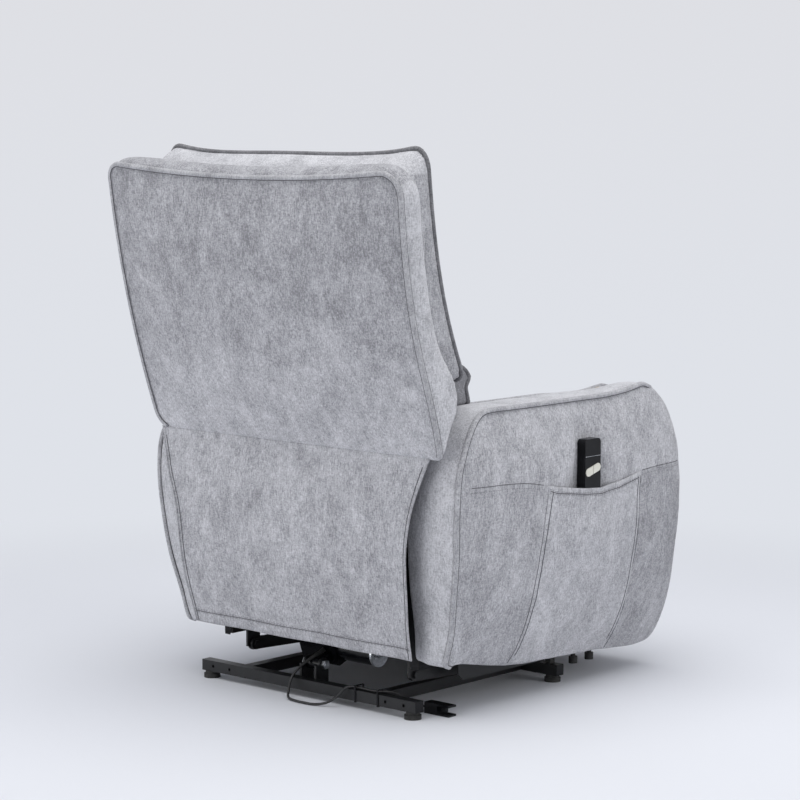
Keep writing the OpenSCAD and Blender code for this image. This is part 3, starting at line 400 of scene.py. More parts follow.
def tube(name, path, radius, material, closed=False, sides=10):
    rings = tubeRings(path, radius, sides, closed)
    if not closed:
        return meshObject(name, *ringMesh(rings), material)
    points, faces = ringMesh(np.concatenate([rings, rings[:1]]), tips=False)
    points = points[:-sides]
    faces = [tuple(i % len(points) for i in f) for f in faces]
    return meshObject(name, points, faces, material)


def joined(name, parts):
    made = linked(name, bpy.data.meshes.new(name))
    work = bmesh.new()
    slots = []
    for part in parts:
        before = len(work.faces)
        work.from_mesh(part.data)
        work.faces.ensure_lookup_table()
        own = []
        for material in part.data.materials:
            if material not in slots:
                slots.append(material)
            own.append(slots.index(material))
        for face in work.faces[before:]:
            face.material_index = own[face.material_index]
        bpy.data.objects.remove(part)
    work.to_mesh(made.data)
    work.free()
    for material in slots:
        made.data.materials.append(material)
    return made


def rides(thing, body, stands=()):
    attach(thing, body)
    if stands:
        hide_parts(*stands)
    return thing


def vertexData(thing, what):
    got = np.zeros(len(thing.data.vertices) * 3, np.float32)
    thing.data.vertices.foreach_get(what, got)
    return got.reshape(-1, 3).astype(float)


def coordinates(thing):
    return vertexData(thing, "co") * 1000


def setCoordinates(thing, points):
    thing.data.vertices.foreach_set("co", (np.asarray(points) / 1000).astype(np.float32).ravel())
    thing.data.update()


# how the pile lies, together with painted light and shade: darker below nought, lighter above it
def setNapAndShade(thing, values):
    layer = thing.data.attributes.get("nap_and_shade") or thing.data.attributes.new("nap_and_shade", "FLOAT", "POINT")
    everywhere = np.broadcast_to(values, len(thing.data.vertices))
    layer.data.foreach_set("value", everywhere.astype(np.float32))


def wander(points, size, seed):
    p = np.asarray(points) / size
    return np.array([noise.noise(Vector((a + seed, b - seed, c + 2 * seed))) for a, b, c in p])


def ripple(thing, amount, size, seed, weight=None):
    points = coordinates(thing)
    push = amount * wander(points, size, seed) + 0.4 * amount * wander(points, size * 0.4, seed + 9)
    if weight is not None:
        push = push * weight(points)
    setCoordinates(thing, points + push[:, None] * vertexData(thing, "normal"))


def surfaceOf(thing):
    places = [v.co.copy() for v in thing.data.vertices]
    return BVHTree.FromPolygons(places, [tuple(p.vertices) for p in thing.data.polygons])


def onSurface(tree, points, lift=0.0):
    out = []
    for p in points:
        place, normal, _, _ = tree.find_nearest(Vector(p / 1000))
        out.append((np.array(place) + np.array(normal) * lift / 1000) * 1000)
    return np.array(out)


# what a thing's modifiers make takes the place of its mesh
def applyModifiers(thing):
    graph = bpy.context.evaluated_depsgraph_get()
    final = bpy.data.meshes.new_from_object(thing.evaluated_get(graph))
    thing.modifiers.clear()
    thing.data = final


# a row of short thread lengths along a path, made with Geometry Nodes
def makeStitchTree():
    tree = bpy.data.node_groups.new("stitch_row", "GeometryNodeTree")
    tree.interface.new_socket("Path", in_out="INPUT", socket_type="NodeSocketGeometry")
    kinds = {"Spacing": "Float", "Length": "Float", "Radius": "Float", "Seed": "Int", "Thread": "Material"}
    named = {}
    for key, kind in kinds.items():
        item = tree.interface.new_socket(key, in_out="INPUT", socket_type="NodeSocket" + kind)
        named[key] = item.identifier
    tree.interface.new_socket("Stitches", in_out="OUTPUT", socket_type="NodeSocketGeometry")
    entry = tree.nodes.new("NodeGroupInput").outputs

    def add(kind, inputs=None, **settings):
        return next(o for o in addNode(tree, kind, inputs, **settings).outputs if o.enabled)

    line = add("GeometryNodeMeshToCurve", {"Mesh": entry["Path"]})
    even = add("GeometryNodeResampleCurve", {"Curve": line, "Length": entry["Spacing"]}, mode="LENGTH")
    bead = add("GeometryNodeMeshUVSphere", {"Segments": 6, "Rings": 5, "Radius": 1.0})
    vary = add("FunctionNodeRandomValue", {"Min": 0.85, "Max": 1.1, "Seed": entry["Seed"]}, data_type="FLOAT")
    half = add("ShaderNodeMath", {0: entry["Length"], 1: 0.5}, operation="MULTIPLY")
    reach = add("ShaderNodeMath", {0: half, 1: vary}, operation="MULTIPLY")
    size = add("ShaderNodeCombineXYZ", {0: entry["Radius"], 1: entry["Radius"], 2: reach})
    along = add("FunctionNodeAlignRotationToVector", {"Vector": add("GeometryNodeInputTangent")}, axis="Z")
    spots = {"Points": even, "Instance": bead, "Rotation": along, "Scale": size}
    solid = add("GeometryNodeRealizeInstances", {0: add("GeometryNodeInstanceOnPoints", spots)})
    done = add("GeometryNodeSetMaterial", {"Geometry": solid, "Material": entry["Thread"]})
    addNode(tree, "NodeGroupOutput", {0: done})
    return tree, named


stitchTree, stitchInputs = makeStitchTree()


def stitches(name, paths, body, spacing=6.5, length=4.4, radius=0.55, seed=3):
    points, edges = [], []
    for path in paths:
        edges += [(len(points) + k, len(points) + k + 1) for k in range(len(path) - 1)]
        points += (np.asarray(path) / 1000).tolist()
    mesh = bpy.data.meshes.new(name)
    mesh.from_pydata(points, edges, [])
    made = linked(name, mesh)
    row = made.modifiers.new("stitches", "NODES")
    row.node_group = stitchTree
    sizes = {"Spacing": spacing / 1000, "Length": length / 1000, "Radius": radius / 1000}
    for key, value in {**sizes, "Seed": seed, "Thread": thread}.items():
        row[stitchInputs[key]] = value
    made.data.update()
    applyModifiers(made)
    return rides(made, body)


# a sewn line: a fine dark groove that lies on the cloth, its darkness painted shade
def seamLine(name, paths, body, radius=0.65):
    parts = [tube(name + str(k), path, radius, seamShade, sides=6) for k, path in enumerate(paths)]
    return rides(joined(name, parts), body)


# a welt between two panels: cloth over a cord, with the shadow of the seam on either side
def weltRoll(name, path, inward, body, radius, grooved=None):
    path, inward = np.asarray(path, float), unit(np.asarray(inward, float))
    side = np.cross(np.gradient(path, axis=0), inward)
    side *= radius / (np.linalg.norm(side, axis=1)[:, None] + 1e-9)
    sunk = path + 0.2 * radius * inward
    parts = [tube(name + "_roll", sunk, radius, weltCloth, sides=14)]
    for k in (-0.95, 0.95):
        groove = (sunk + 0.12 * radius * inward + k * side)[:grooved]
        parts.append(tube(name + "_groove", groove, 1.1, seamShade, sides=6))
    return rides(joined(name, parts), body)


# loop round a panel: u and w from -1 to 1, corners rounded in millimetres, alike or left and right
def panelLoop(width, height, topRound, lowRound, count):
    halfW, halfH = width / 2, height / 2
    (leftTop, rightTop), (leftLow, rightLow) = np.broadcast_to(topRound, 2), np.broadcast_to(lowRound, 2)
    corners = [(halfW, halfH, leftTop), (-halfW, halfH, rightTop),
               (-halfW, -halfH, rightLow), (halfW, -halfH, leftLow)]
    points = []
    for k, (x, y, r) in enumerate(corners):
        cx, cy = x - math.copysign(r, x), y - math.copysign(r, y)
        for a in np.linspace(90 * k, 90 * k + 90, 9):
            points.append((cx + r * math.cos(math.radians(a)), cy + r * math.sin(math.radians(a))))
    return evenly(np.array(points + points[:1]), count, closed=True) / (halfW, halfH)


def padForm(loop, near, far, boxing, rows, insideRings=26):
    grow = 1 - (1 - np.linspace(0.03, 1, insideRings)) ** 1.25
    rings = [near(*(loop * s).T) for s in grow]
    nearEdge, farEdge = near(*loop.T), far(*loop.T)
    for k in range(1, rows):
        rings.append(boxing(loop, nearEdge, farEdge, k / rows))
    rings += [far(*(loop * s).T) for s in grow[::-1]]
    return np.array(rings)


def crown(u, w):
    return (1 - np.abs(u) ** 3) * (1 - np.abs(w) ** 3)


def swollen(bulge):
    def boxing(loop, nearEdge, farEdge, q):
        across = (nearEdge + farEdge) / 2 - (nearEdge.mean(0) + farEdge.mean(0)) / 2
        depth = farEdge - nearEdge
        depth = depth / (np.linalg.norm(depth, axis=1)[:, None] + 1e-9)
        out = unit(across - (across * depth).sum(1)[:, None] * depth)
        return nearEdge + (farEdge - nearEdge) * q + out * (bulge * 4 * q * (1 - q))
    return boxing


# cloth: the panels swell between the seams, which stay where they are
cloth = {"mass": 0.3, "stiff": 15.0, "shear": 7.5, "bend": 0.8, "quality": 4, "frames": 20,
         "seam": 5.0, "free": 15.0}


def inflate(thing, seams, voxel, pressure, cap, box=None):
    before = thing.data
    work = linked(thing.name + "_cloth", before.copy())
    remesh = work.modifiers.new("remesh", "REMESH")
    remesh.mode = "VOXEL"
    remesh.voxel_size = voxel / 1000
    remesh.use_smooth_shade = True
    applyModifiers(work)
    start = coordinates(work)
    tree = KDTree(sum(len(s) for s in seams))
    for k, p in enumerate(p for s in seams for p in s):
        tree.insert(Vector(p), k)
    tree.balance()
    pins = work.vertex_groups.new(name="seam")
    for k, p in enumerate(start):
        away = tree.find(Vector(p))[2]
        if away < cloth["free"]:
            pins.add([k], float(1 - smooth(away, cloth["seam"], cloth["free"])), "REPLACE")
    settings = work.modifiers.new("cloth", "CLOTH").settings
    settings.quality = cloth["quality"]
    settings.mass = cloth["mass"]
    settings.tension_stiffness = settings.compression_stiffness = cloth["stiff"]
    settings.shear_stiffness = cloth["shear"]
    settings.bending_stiffness = cloth["bend"]
    settings.use_pressure = True
    settings.uniform_pressure_force = pressure
    settings.vertex_group_mass = "seam"
    settings.effector_weights.gravity = 0
    work.modifiers["cloth"].collision_settings.use_collision = False
    for k in range(1, cloth["frames"] + 1):
        scene.frame_set(k)
    applyModifiers(work)
    move = coordinates(work) - start
    scene.frame_set(1)
    far = np.linalg.norm(move, axis=1)
    move *= (np.minimum(far, cap) / np.maximum(far, 1e-9))[:, None]
    points = start + move
    if box is not None:
        points = np.clip(points, *box)
    setCoordinates(work, points)
    print(thing.name, "cloth done, largest move", round(float(np.minimum(far, cap).max()), 1))
    thing.data = work.data
    thing.data.materials.clear()
    thing.data.materials.append(before.materials[0])
    thing.data.polygons.foreach_set("use_smooth", [True] * len(thing.data.polygons))
    bpy.data.objects.remove(work)
    subdivide = thing.modifiers.new("smooth", "SUBSURF")
    subdivide.levels = subdivide.render_levels = 1
    applyModifiers(thing)


# a filled pad: two panels and the band between them, with the edge that the piping follows
def makePad(name, loop, near, far, bulge, rows, fill, box=None):
    made = meshObject(name, *ringMesh(padForm(loop, near, far, swollen(bulge), rows)), chenille)
    edge = near(*loop.T)
    inflate(made, [edge, far(*loop.T)], *fill, box)
    return made, edge


# power lead: the route of the model's lead, with a ribbed sleeve where it leaves the motor
lead = {
    "radius": 2.5, "sleeve": 4.9, "sleeveTaper": 1.9, "ribs": 0.09, "sleeveSteps": 20,
    "points": [(10, 217, 85), (10, 225, 82), (12, 238, 77), (19, 251, 68), (27, 266, 56), (31, 280, 44),
               (29, 292, 30), (25, 301, 15), (15, 312, 5), (-5, 318, 3), (-32, 320, 3), (-58, 317, 3),
               (-80, 309, 7), (-96, 301, 16), (-106, 293, 27), (-113, 285, 38), (-124, 276, 41),
               (-142, 271, 40), (-172, 270, 39), (-203, 264, 41), (-217, 254, 38), (-228, 242, 27),
               (-235, 229, 16), (-239, 217, 11), (-244, 210, 10), (-250, 207, 10), (-256, 207, 10)],
}


def makeLead(name, spec):
    points = resample(spec["points"], 200)
    data = bpy.data.curves.new(name, "CURVE")
    data.dimensions = "3D"
    data.bevel_depth = spec["radius"] / 1000
    data.bevel_resolution = 4
    data.use_fill_caps = True
    spline = data.splines.new("POLY")
    spline.points.add(len(points) - 1)
    for place, p in zip(spline.points, points):
        place.co = (*(p / 1000), 1)
    data.materials.append(bySlot["cable_sheath"])
    return linked(name, data), points


leadCable, leadPath = makeLead("lead_cable", lead)
leadLength = lengthOf(leadPath) / 1000
rides(leadCable, "base", ["power_lead"])
sleevePath = leadPath[:lead["sleeveSteps"]]
ribs = 1 - lead["ribs"] * (np.arange(len(sleevePath)) % 2)
sleeveRadius = (lead["sleeve"] - lead["sleeveTaper"] * np.linspace(0, 1, len(sleevePath))) * ribs
relief = tube("lead_strain_relief", sleevePath, sleeveRadius, bySlot["black_rubber"], sides=16)
rides(relief, "base")
[c / 1000 for c in lead["points"][0]]
print("lead made, length", round(leadLength, 4))

# arms; a pair of heights or depths is where a change begins and where it is whole
arm = {
    "mid": (-78, 330), "low": 50, "full": 455, "hem": 325, "swell": 79, "rolled": 0.0011,
    "taper": (14, 180, 270), "belly": (7, 372, 282), "inner": 263.4, "round": 13, "puff": 5.5, "tuck": 4,
    "calm": (190, 320),
    "outline": [(261, 113), (266, 173), (278, 244), (285, 321), (290, 397), (286, 467), (269, 512),
                (244, 550), (214, 578), (180, 588), (90, 588), (0, 588), (-90, 588), (-170, 588), (-240, 592),
                (-297, 598), (-329, 593), (-367, 560), (-393, 518), (-410, 466), (-421, 400), (-426, 330),
                (-431, 260), (-439, 195), (-445, 134), (-441, 82), (-423, 55), (-381, 50), (-296, 57),
                (-215, 63), (-140, 67), (-65, 69), (-10, 72), (45, 78), (105, 86), (165, 97), (214, 106),
                (244, 106)],
    "mouth": [(269, 452), (206, 450), (145, 448), (94, 444), (38, 434), (6, 427), (-48, 420), (-116, 414),
              (-179, 418), (-219, 425), (-260, 431), (-317, 434), (-377, 434), (-422, 434)],
    "rearSeam": [(38, 434), (33, 420), (38, 390), (47, 314), (50, 256), (51, 197), (58, 125), (70, 84)],
    "frontSeam": [(-261, 430), (-257, 387), (-259, 338), (-262, 253), (-263, 183), (-258, 120), (-248, 62)],
}
softEdge = {"all": 4.5, "front": 5, "y": (335, 405), "top": 600, "z": (8, 60)}
hollow = {"y": -93, "floor": 395.2, "deeper": 1.4, "deeperZ": (506, 524), "flat": 27, "wide": 76,
          "narrower": 30, "narrowZ": (425, 500), "lowZ": (330, 352), "highZ": (556, 590), "panel": 3.0}
innerTop = {"drop": 8, "x": (10, 85), "z": (545, 575), "y": (90, 250)}
# tone of the arm panels by pile direction, with painted light that lightens the front panel towards the
# bottom
armNapAndShade = {"outer": 0.02, "inner": 0.5, "rear": -0.08, "front": -0.42, "frontLowLight": 0.25}


# the outer side: full at hand height, rolled in above it and drawn in at the hem
def flare(z):
    t = np.clip((z - arm["low"]) / (arm["full"] - arm["low"]), 0, 1)
    over = np.maximum(z - arm["full"], 0)
    return arm["hem"] + arm["swell"] * (1 - (1 - t) ** 2.2) - arm["rolled"] * over ** 2


def armEdge(y, z):
    amount, start, reach = arm["taper"]
    return flare(z) - amount * np.maximum(0, (-y - start) / reach) ** 1.5


def fullness(y, z):
    amount, halfY, halfZ = arm["belly"]
    along = np.maximum(0, 1 - ((y - arm["mid"][0]) / halfY) ** 2)
    return amount * along * np.maximum(0, 1 - ((z - arm["mid"][1]) / halfZ) ** 2)


def edgeDrop(y, z):
    front = smooth(-y, *softEdge["y"]) * smooth(softEdge["top"] - z, *softEdge["z"])
    return softEdge["all"] + softEdge["front"] * front


# rings from the middle of the outer side, round the edges, to the middle of the inner side
def armRings(outline):
    mid = np.array(arm["mid"], float)
    tangent = np.roll(outline, -1, 0) - np.roll(outline, 1, 0)
    normal = unit(np.stack([tangent[:, 1], -tangent[:, 0]], 1))
    drop = edgeDrop(*outline.T)
    rings = []
    for s in 1 - (1 - np.linspace(0.02, 1, 46)) ** 1.15:
        p = mid + s * (outline - mid)
        rings.append(np.c_[armEdge(*p.T) + fullness(*p.T) * (1 - s ** 6) - drop * s ** 12, p])
    edge = armEdge(*outline.T) - drop
    up = np.clip(normal[:, 1] + 0.6, 0, 1)[:, None]
    calm = (1 - 0.8 * smooth(-outline[:, 0], *arm["calm"]))[:, None]
    for q in np.linspace(0, 1, 13)[1:]:
        x = edge + (arm["inner"] + arm["round"] - edge) * q
        puff = normal * up * calm * (arm["puff"] * 4 * q * (1 - q))
        rings.append(np.c_[x, outline + puff - normal * arm["tuck"] * smooth(q, 0.6, 1)])
    for a in np.linspace(0, math.pi / 2, 6)[1:]:
        x = np.full(len(outline), arm["inner"] + arm["round"] * (1 - math.sin(a)))
        rings.append(np.c_[x, outline - normal * (arm["tuck"] + arm["round"] * (1 - math.cos(a)))])
    innerEdge = rings[-1][:, 1:]
    for s in np.linspace(1, 0.03, 18)[1:]:
        rings.append(np.c_[np.full(len(outline), arm["inner"]), mid + s * (innerEdge - mid)])
    return np.array(rings)


def lineAt(line, index, at):
    line = np.asarray(line, float)
    order = np.argsort(line[:, index])
    return np.interp(at, line[order, index], line[order, 1 - index])


armLoop = resample(arm["outline"], 260, True)
mouthLine = resample(arm["mouth"], 120)
rearSeam = resample(arm["rearSeam"], 80)
frontSeam = resample(arm["frontSeam"], 80)


# the handset lies in a hollow of the right arm
def handsetDent(y, z):
    surface = armEdge(y, z) + fullness(y, z)
    depth = np.maximum(surface - hollow["floor"] + hollow["deeper"] * smooth(z, *hollow["deeperZ"]), 0)
    wide = hollow["wide"] - hollow["narrower"] * smooth(z, *hollow["narrowZ"])
    across = 1 - smooth(np.abs(y - hollow["y"]), hollow["flat"], wide)
    return depth * across * smooth(z, *hollow["lowZ"]) * (1 - smooth(z, *hollow["highZ"]))


# the top falls towards the seat, most at the front
def innerDrop(x, y, z):
    near = 1 - smooth(np.abs(x) - arm["inner"], *innerTop["x"])
    return innerTop["drop"] * near * smooth(z, *innerTop["z"]) * smooth(-y, *innerTop["y"])


def makeArm(name, sign):
    points, faces = ringMesh(armRings(armLoop))
    x, y, z = points.T
    outer = x > armEdge(y, z) - 9
    if sign < 0:
        below = smooth(lineAt(arm["mouth"], 0, y) - z, 2, 9)
        below = below * smooth(lineAt(rearSeam, 1, z) - y, 0, 10) * smooth(y - lineAt(frontSeam, 1, z), 0, 10)
        points[:, 0] = np.where(outer, x - np.maximum(handsetDent(y, z), hollow["panel"] * below), x)
    points[:, 2] -= innerDrop(x, y, z)
    points[:, 0] *= sign
    made = meshObject(name, points, faces, chenille)
    nap_and_shade = np.where(outer, armNapAndShade["outer"], armNapAndShade["inner"])
    lower = outer & (z < lineAt(arm["mouth"], 0, y))
    nap_and_shade = np.where(lower & (y > lineAt(rearSeam, 1, z)), armNapAndShade["rear"], nap_and_shade)
    # painted light: the front panel lighter towards the bottom
    frontNapAndShade = armNapAndShade["front"] + armNapAndShade["frontLowLight"] * smooth(250 - z, 0, 180)
    setNapAndShade(made, np.where(lower & (y < lineAt(frontSeam, 1, z)), frontNapAndShade, nap_and_shade))
    ripple(made, 2.2, 95, 3.1 + sign, lambda p: smooth(np.abs(p[:, 0]), 280, 330))
    return made


rightArm, leftArm = makeArm("right_arm_padding", -1), makeArm("left_arm_padding", 1)
rides(rightArm, "chair", ["right_arm_inner_pad", "right_arm_cover"])
rides(leftArm, "chair", ["left_arm_inner_pad", "left_arm_cover"])
armTree = {-1: surfaceOf(rightArm), 1: surfaceOf(leftArm)}
print("arms made")


# welts run up the rear edge and along the top, then across it in front and back along its inner side
armWelt = {"radius": 5.3, "start": (244, 106), "turn": (-338, 589), "outerIn": 2.6, "innerOut": 6.0,
           "innerDown": 4.4, "crossRise": 3.0, "centre": 320.0}


def nearest(line, place):
    return int(np.abs(line - place).sum(1).argmin())


def weltPath(sign):
    loop = np.roll(armLoop, -nearest(armLoop, armWelt["start"]), 0)
    up = loop[:nearest(loop, armWelt["turn"]) + 1]
    mid = np.array(arm["mid"], float)
    outer = np.c_[armEdge(*up.T) - armWelt["outerIn"], up]
    back = up[::-1]
    tangent = np.gradient(back, axis=0)
    normal = unit(np.stack([-tangent[:, 1], tangent[:, 0]], 1))
    normal *= np.sign(((mid - back) * normal).sum(1))[:, None]
    keep = (back[:, 1] > 470) | (back[:, 0] < 200)
    innerX = np.full(len(back), arm["inner"] + armWelt["innerOut"])
    inner = np.c_[innerX, back + normal * armWelt["innerDown"]][keep]
    across = np.linspace(outer[-1], inner[0], 14)[1:-1]
    across[:, 2] += armWelt["crossRise"] * np.sin(np.linspace(0, math.pi, 12))
    path = resample(np.vstack([outer[:-3], across, inner[3:]])[::2], 620)
    path[:, 2] -= innerDrop(*path.T)
    inward = (armWelt["centre"], *mid) - path
    inward[:, 0] = np.clip(inward[:, 0], -40, 40) * 4
    path[:, 0] *= sign
    inward[:, 0] *= sign
    return path, inward


for sign, side in ((-1, "right"), (1, "left")):
    path, inward = weltPath(sign)
    outerRun = int((np.abs(path[:, 0]) > arm["inner"] + 20).sum())
    weltRoll(side + "_arm_piping", path, inward, "chair", armWelt["radius"], grooved=outerRun)
print("arm welts made")

# pocket panel on the right arm
pocket = {"columns": 90, "rows": 84, "thick": 2.4, "rear": 38, "front": -261, "handsetHalf": 62,
          "handsetX": 419.6, "slack": 2.0, "tucked": -0.6, "proud": 2.2, "hemTuck": 5,
          "seamDown": 12, "stitchDown": (9, 15), "nap_and_shade": 0.16}


# a from the rear seam to the front one, b from the hem to the mouth
def pocketPoint(a, b):
    y = pocket["rear"] + (pocket["front"] - pocket["rear"]) * a
    for _ in range(6):
        top = lineAt(arm["mouth"], 0, y)
        low = lineAt(armLoop[armLoop[:, 1] < 112], 0, y) + 3
        z = low + (top - low) * b
        y = lineAt(rearSeam, 1, z) * (1 - a) + lineAt(frontSeam, 1, z) * a
    return y, z


def pocketLine(a, b):
    return np.stack(pocketPoint(a, b), 1)


def makePocket(name, spec):
    a, b = np.meshgrid(np.linspace(0, 1, spec["columns"] + 1), np.linspace(0, 1, spec["rows"] + 1))
    y, z = pocketPoint(a.ravel(), b.ravel())
    base = armEdge(y, z) + fullness(y, z)
    edge = np.minimum(a.ravel(), 1 - a.ravel()) * 300
    lift = spec["tucked"] + spec["proud"] * smooth(edge, 0, 14)
    near = np.exp(-((y - hollow["y"]) / spec["handsetHalf"]) ** 2) * smooth(z, 250, 352)
    bulge = np.maximum(base + lift, 0) + near * np.maximum(spec["handsetX"] - base - lift, 0)
    slack = spec["slack"] * smooth(z, 330, 425) * smooth(edge, 4, 60)
    x = np.maximum(bulge, base + lift + slack)
    x -= spec["hemTuck"] * smooth(140 - z, 0, 90) ** 2
    outer = np.stack([-x, y, z], 1)
    made = meshObject(name, np.vstack([outer, outer + (spec["thick"], 0, 0)]), sheetFaces(*a.shape), chenille)
    setNapAndShade(made, spec["nap_and_shade"])
    ripple(made, 1.6, 90, 7.7)
    return made


sidePocket = rides(makePocket("pocket_panel", pocket), "chair", ["side_pocket"])
print("pocket made")


# sewn lines on the arms
def onArm(line, sign, lift=0.0, down=0.0):
    line = np.asarray(line, float) - (0, down)
    points = np.c_[sign * (armEdge(*line.T) + fullness(*line.T)), line]
    return onSurface(armTree[sign], points, lift)


rearYoke, frontYoke = mouthLine[mouthLine[:, 0] > 44][3:], mouthLine[mouthLine[:, 0] < -262][:-2]
for sign, side in ((-1, "right"), (1, "left")):
    yokes = [rearYoke, frontYoke] if sign < 0 else [mouthLine[3:-2]]
    downs = [rearSeam[2:], frontSeam[2:]]
    seamLine(side + "_arm_seams", [onArm(y, sign, 0.1) for y in yokes + downs], "chair")
    stitches(side + "_arm_stitches", [onArm(y, sign, 0.35, 9) for y in yokes], "chair")
pocketTree = surfaceOf(sidePocket)


def onPocket(points, lift):
    places = np.array([(-armEdge(y, z) - 30, y, z) for y, z in points])
    return onSurface(pocketTree, places, lift)


hem = pocketLine(np.linspace(0.01, 0.99, 60), 1.0)
rearHem, frontHem = (pocketLine(a, np.linspace(0.02, 0.97, 50)) for a in (0.014, 0.986))
hemSeams = [onPocket(hem - (0, pocket["seamDown"]), 0.1), onPocket(rearHem, 0.2), onPocket(frontHem, 0.2)]
seamLine("pocket_seams", hemSeams, "chair", 0.8)
stitches("pocket_stitches", [onPocket(hem - (0, down), 0.35) for down in pocket["stitchDown"]], "chair")
print("arm seams made")

# back: its rear curve leaves the foot towards the bend and ends at the head
back = {
    "foot": (315, 505), "bend": (405, 767.15), "head": (431, 1040), "low": 365, "top": 386, "dip": 0.037,
    "fuller": 20, "crown": 13, "wide": 752, "tall": 545, "topRound": (30, 50), "lowRound": (40, 14),
    "middle": (30, 25.4), "corner": (2, 53.4), "hip": 25, "flat": (327, 27), "gap": 55.5,
    "sideSwell": 6, "topSwell": 18, "fill": (6.5, 3.0, 7.0), "piping": 5.4,
}


# a curve from a to c that heads for b on the way
def alongCurve(a, b, c, t):
    return (1 - t) ** 2 * a + 2 * t * (1 - t) * b + t ** 2 * c


def backAt(t, forward):
    p0, p1, p2 = (np.array(back[k], float) for k in ("foot", "bend", "head"))
    t = np.asarray(t, float)[..., None]
    d = unit((1 - t) * (p1 - p0) + t * (p2 - p1))
    p = alongCurve(p0, p1, p2, t)
    return p + np.asarray(forward, float)[..., None] * np.stack([-d[..., 1], d[..., 0]], -1)


def backHalf(u, v):
    t = v * (1 - back["dip"] * (1 - u * u))
    fuller = np.where(u < 0, back["fuller"] * np.exp(-((v - 0.1) / 0.3) ** 2), 0)
    return back["low"] + (back["top"] - back["low"]) * np.maximum(t, 0) ** 0.8 + fuller


def backPoint(u, w, forward):
    v = (w + 1) / 2
    p = backAt(v * (1 - back["dip"] * (1 - u * u)), forward)
    return np.stack([u * backHalf(u, v), p[..., 0], p[..., 1]], -1)


def backRear(u, w):
    return backPoint(u, w, -back["crown"] * crown(u, w))


# the wall between the two panels is narrow at the lower corners, deepest above them
def backEdge(u, v):
    half, (low, wider) = backHalf(u, v), back["flat"]
    return smooth(np.abs(u) * half, low + wider * smooth(v, 0.115, 0.15), half)


def backDepth(u, w):
    v = (w + 1) / 2
    side = backEdge(u, v)
    thin, deeper = back["corner"]
    hip = back["hip"] * np.exp(-((v - 0.21) / 0.12) ** 2) * smooth(v, 0.06, 0.18)
    foot, rise = back["middle"]
    middle = foot + rise * np.minimum(1, 7 * v)
    return middle * (1 - side) + (thin + deeper * np.minimum(1, v / 0.13) + hip) * side


def backFront(u, w):
    inside = (1 - backEdge(u, (w + 1) / 2)) * smooth(w + 1, 0, 0.04)
    depth = backDepth(u, w)
    depth = depth + (back["gap"] - depth) * inside
    return backPoint(u * (1 - 0.009 * smooth(w + 1, 0.1, 0.4)), w - 0.044 * smooth(w, 0.4, 1), depth)


def backWall(loop, nearEdge, farEdge, q):
    u, w = loop.T
    depth = backDepth(u, w)
    turn = 1 - math.sqrt(1 - max(0.0, (q - 0.5) / 0.5) ** 2)
    wall = backPoint(u, w, depth * q) + (farEdge - backPoint(u, w, depth)) * turn
    swell = 4 * q * (1 - q)
    wall[:, 0] += back["sideSwell"] * np.sign(u) * smooth(np.abs(u), 0.8, 1) * swell
    rise = back["topSwell"] * smooth(w, 0.86, 1) * (1 - u ** 10) * swell
    return wall + rise[:, None] * np.array([0, 0.095, 0.995])


backLoop = panelLoop(back["wide"], back["tall"], back["topRound"], back["lowRound"], 320)
backForm = padForm(backLoop, backRear, backFront, backWall, 16)
backCover = meshObject("back_outer_cover", *ringMesh(backForm), chenille)
rearEdge, frontEdge = backRear(*backLoop.T), backFront(*backLoop.T)
inflate(backCover, [rearEdge, frontEdge], *back["fill"])
backX, _, backZ = coordinates(backCover).T
# painted light and shade: the back darker towards the top and lighter low down, with a painted highlight
# along its rounded sides
backPaintedLight = 0.16 - 0.48 * smooth(backZ, 540, 860)
backSide = np.abs(backX) / backHalf(0.99 * np.sign(backX), np.clip((backZ - 505) / 535, 0, 1))
setNapAndShade(backCover, backPaintedLight + (0.45 - backPaintedLight) * smooth(backSide, 0.982, 0.998))
rides(backCover, "back", ["back_rear_cover"])


def openPart(edge, low):
    above = [k for k in range(len(edge)) if edge[k][2] > low]
    start = next(k for k in above if edge[k - 1][2] <= low)
    turned = np.roll(edge, -start, 0)
    return np.array([p for p in turned if p[2] > low])


backWelt = resample(openPart(rearEdge, 510), 460)
backInward = (0, 372, 780) - backWelt
backInward[:, 1] = 0
backInward = unit(backInward)
backInward[:, 1] = -0.8
weltRoll("back_piping", backWelt, backInward, "back", back["piping"])
print("back made")

# head pillow
pillow = {"half": 342, "tall": 430, "low": (202, 642.3), "turn": (264, 805.3), "high": (308, 1062),
          "crown": 34, "sideBack": 11, "cornerRise": 22, "leftDrop": 6, "behind": (0.255, 0.695, 55.9),
          "fill": (7.0, 4.0, 12.0), "piping": 4.6}


def pillowFront(u, w):
    v = (w + 1) / 2
    low, turn, high = (np.array(pillow[k], float) for k in ("low", "turn", "high"))
    puff = pillow["crown"] * crown(u, w)[..., None] * np.array([0.95, -0.3])
    p = alongCurve(low, turn, high, v[..., None]) - puff
    y = p[..., 0] + pillow["sideBack"] * np.sin(math.pi * np.clip(v, 0, 1)) * u ** 6
    rise = pillow["cornerRise"] * v ** 4 * np.abs(u) ** 4 - pillow["leftDrop"] * v ** 2 * smooth(u, 0, 1)
    return np.stack([u * pillow["half"], y, p[..., 1] + rise], -1)


def pillowRear(u, w):
    start, reach, forward = pillow["behind"]
    p = backAt(start + reach * (w + 1) / 2, np.full(u.shape, forward))
    return np.stack([u * pillow["half"], p[..., 0], p[..., 1]], -1)


pillowLoop = panelLoop(2 * pillow["half"], pillow["tall"], 34, 30, 280)
headPillow, pillowEdge = makePad("head_pillow_cover", pillowLoop, pillowFront, pillowRear, 7, 16,
                                 pillow["fill"])
headX, _, headZ = coordinates(headPillow).T
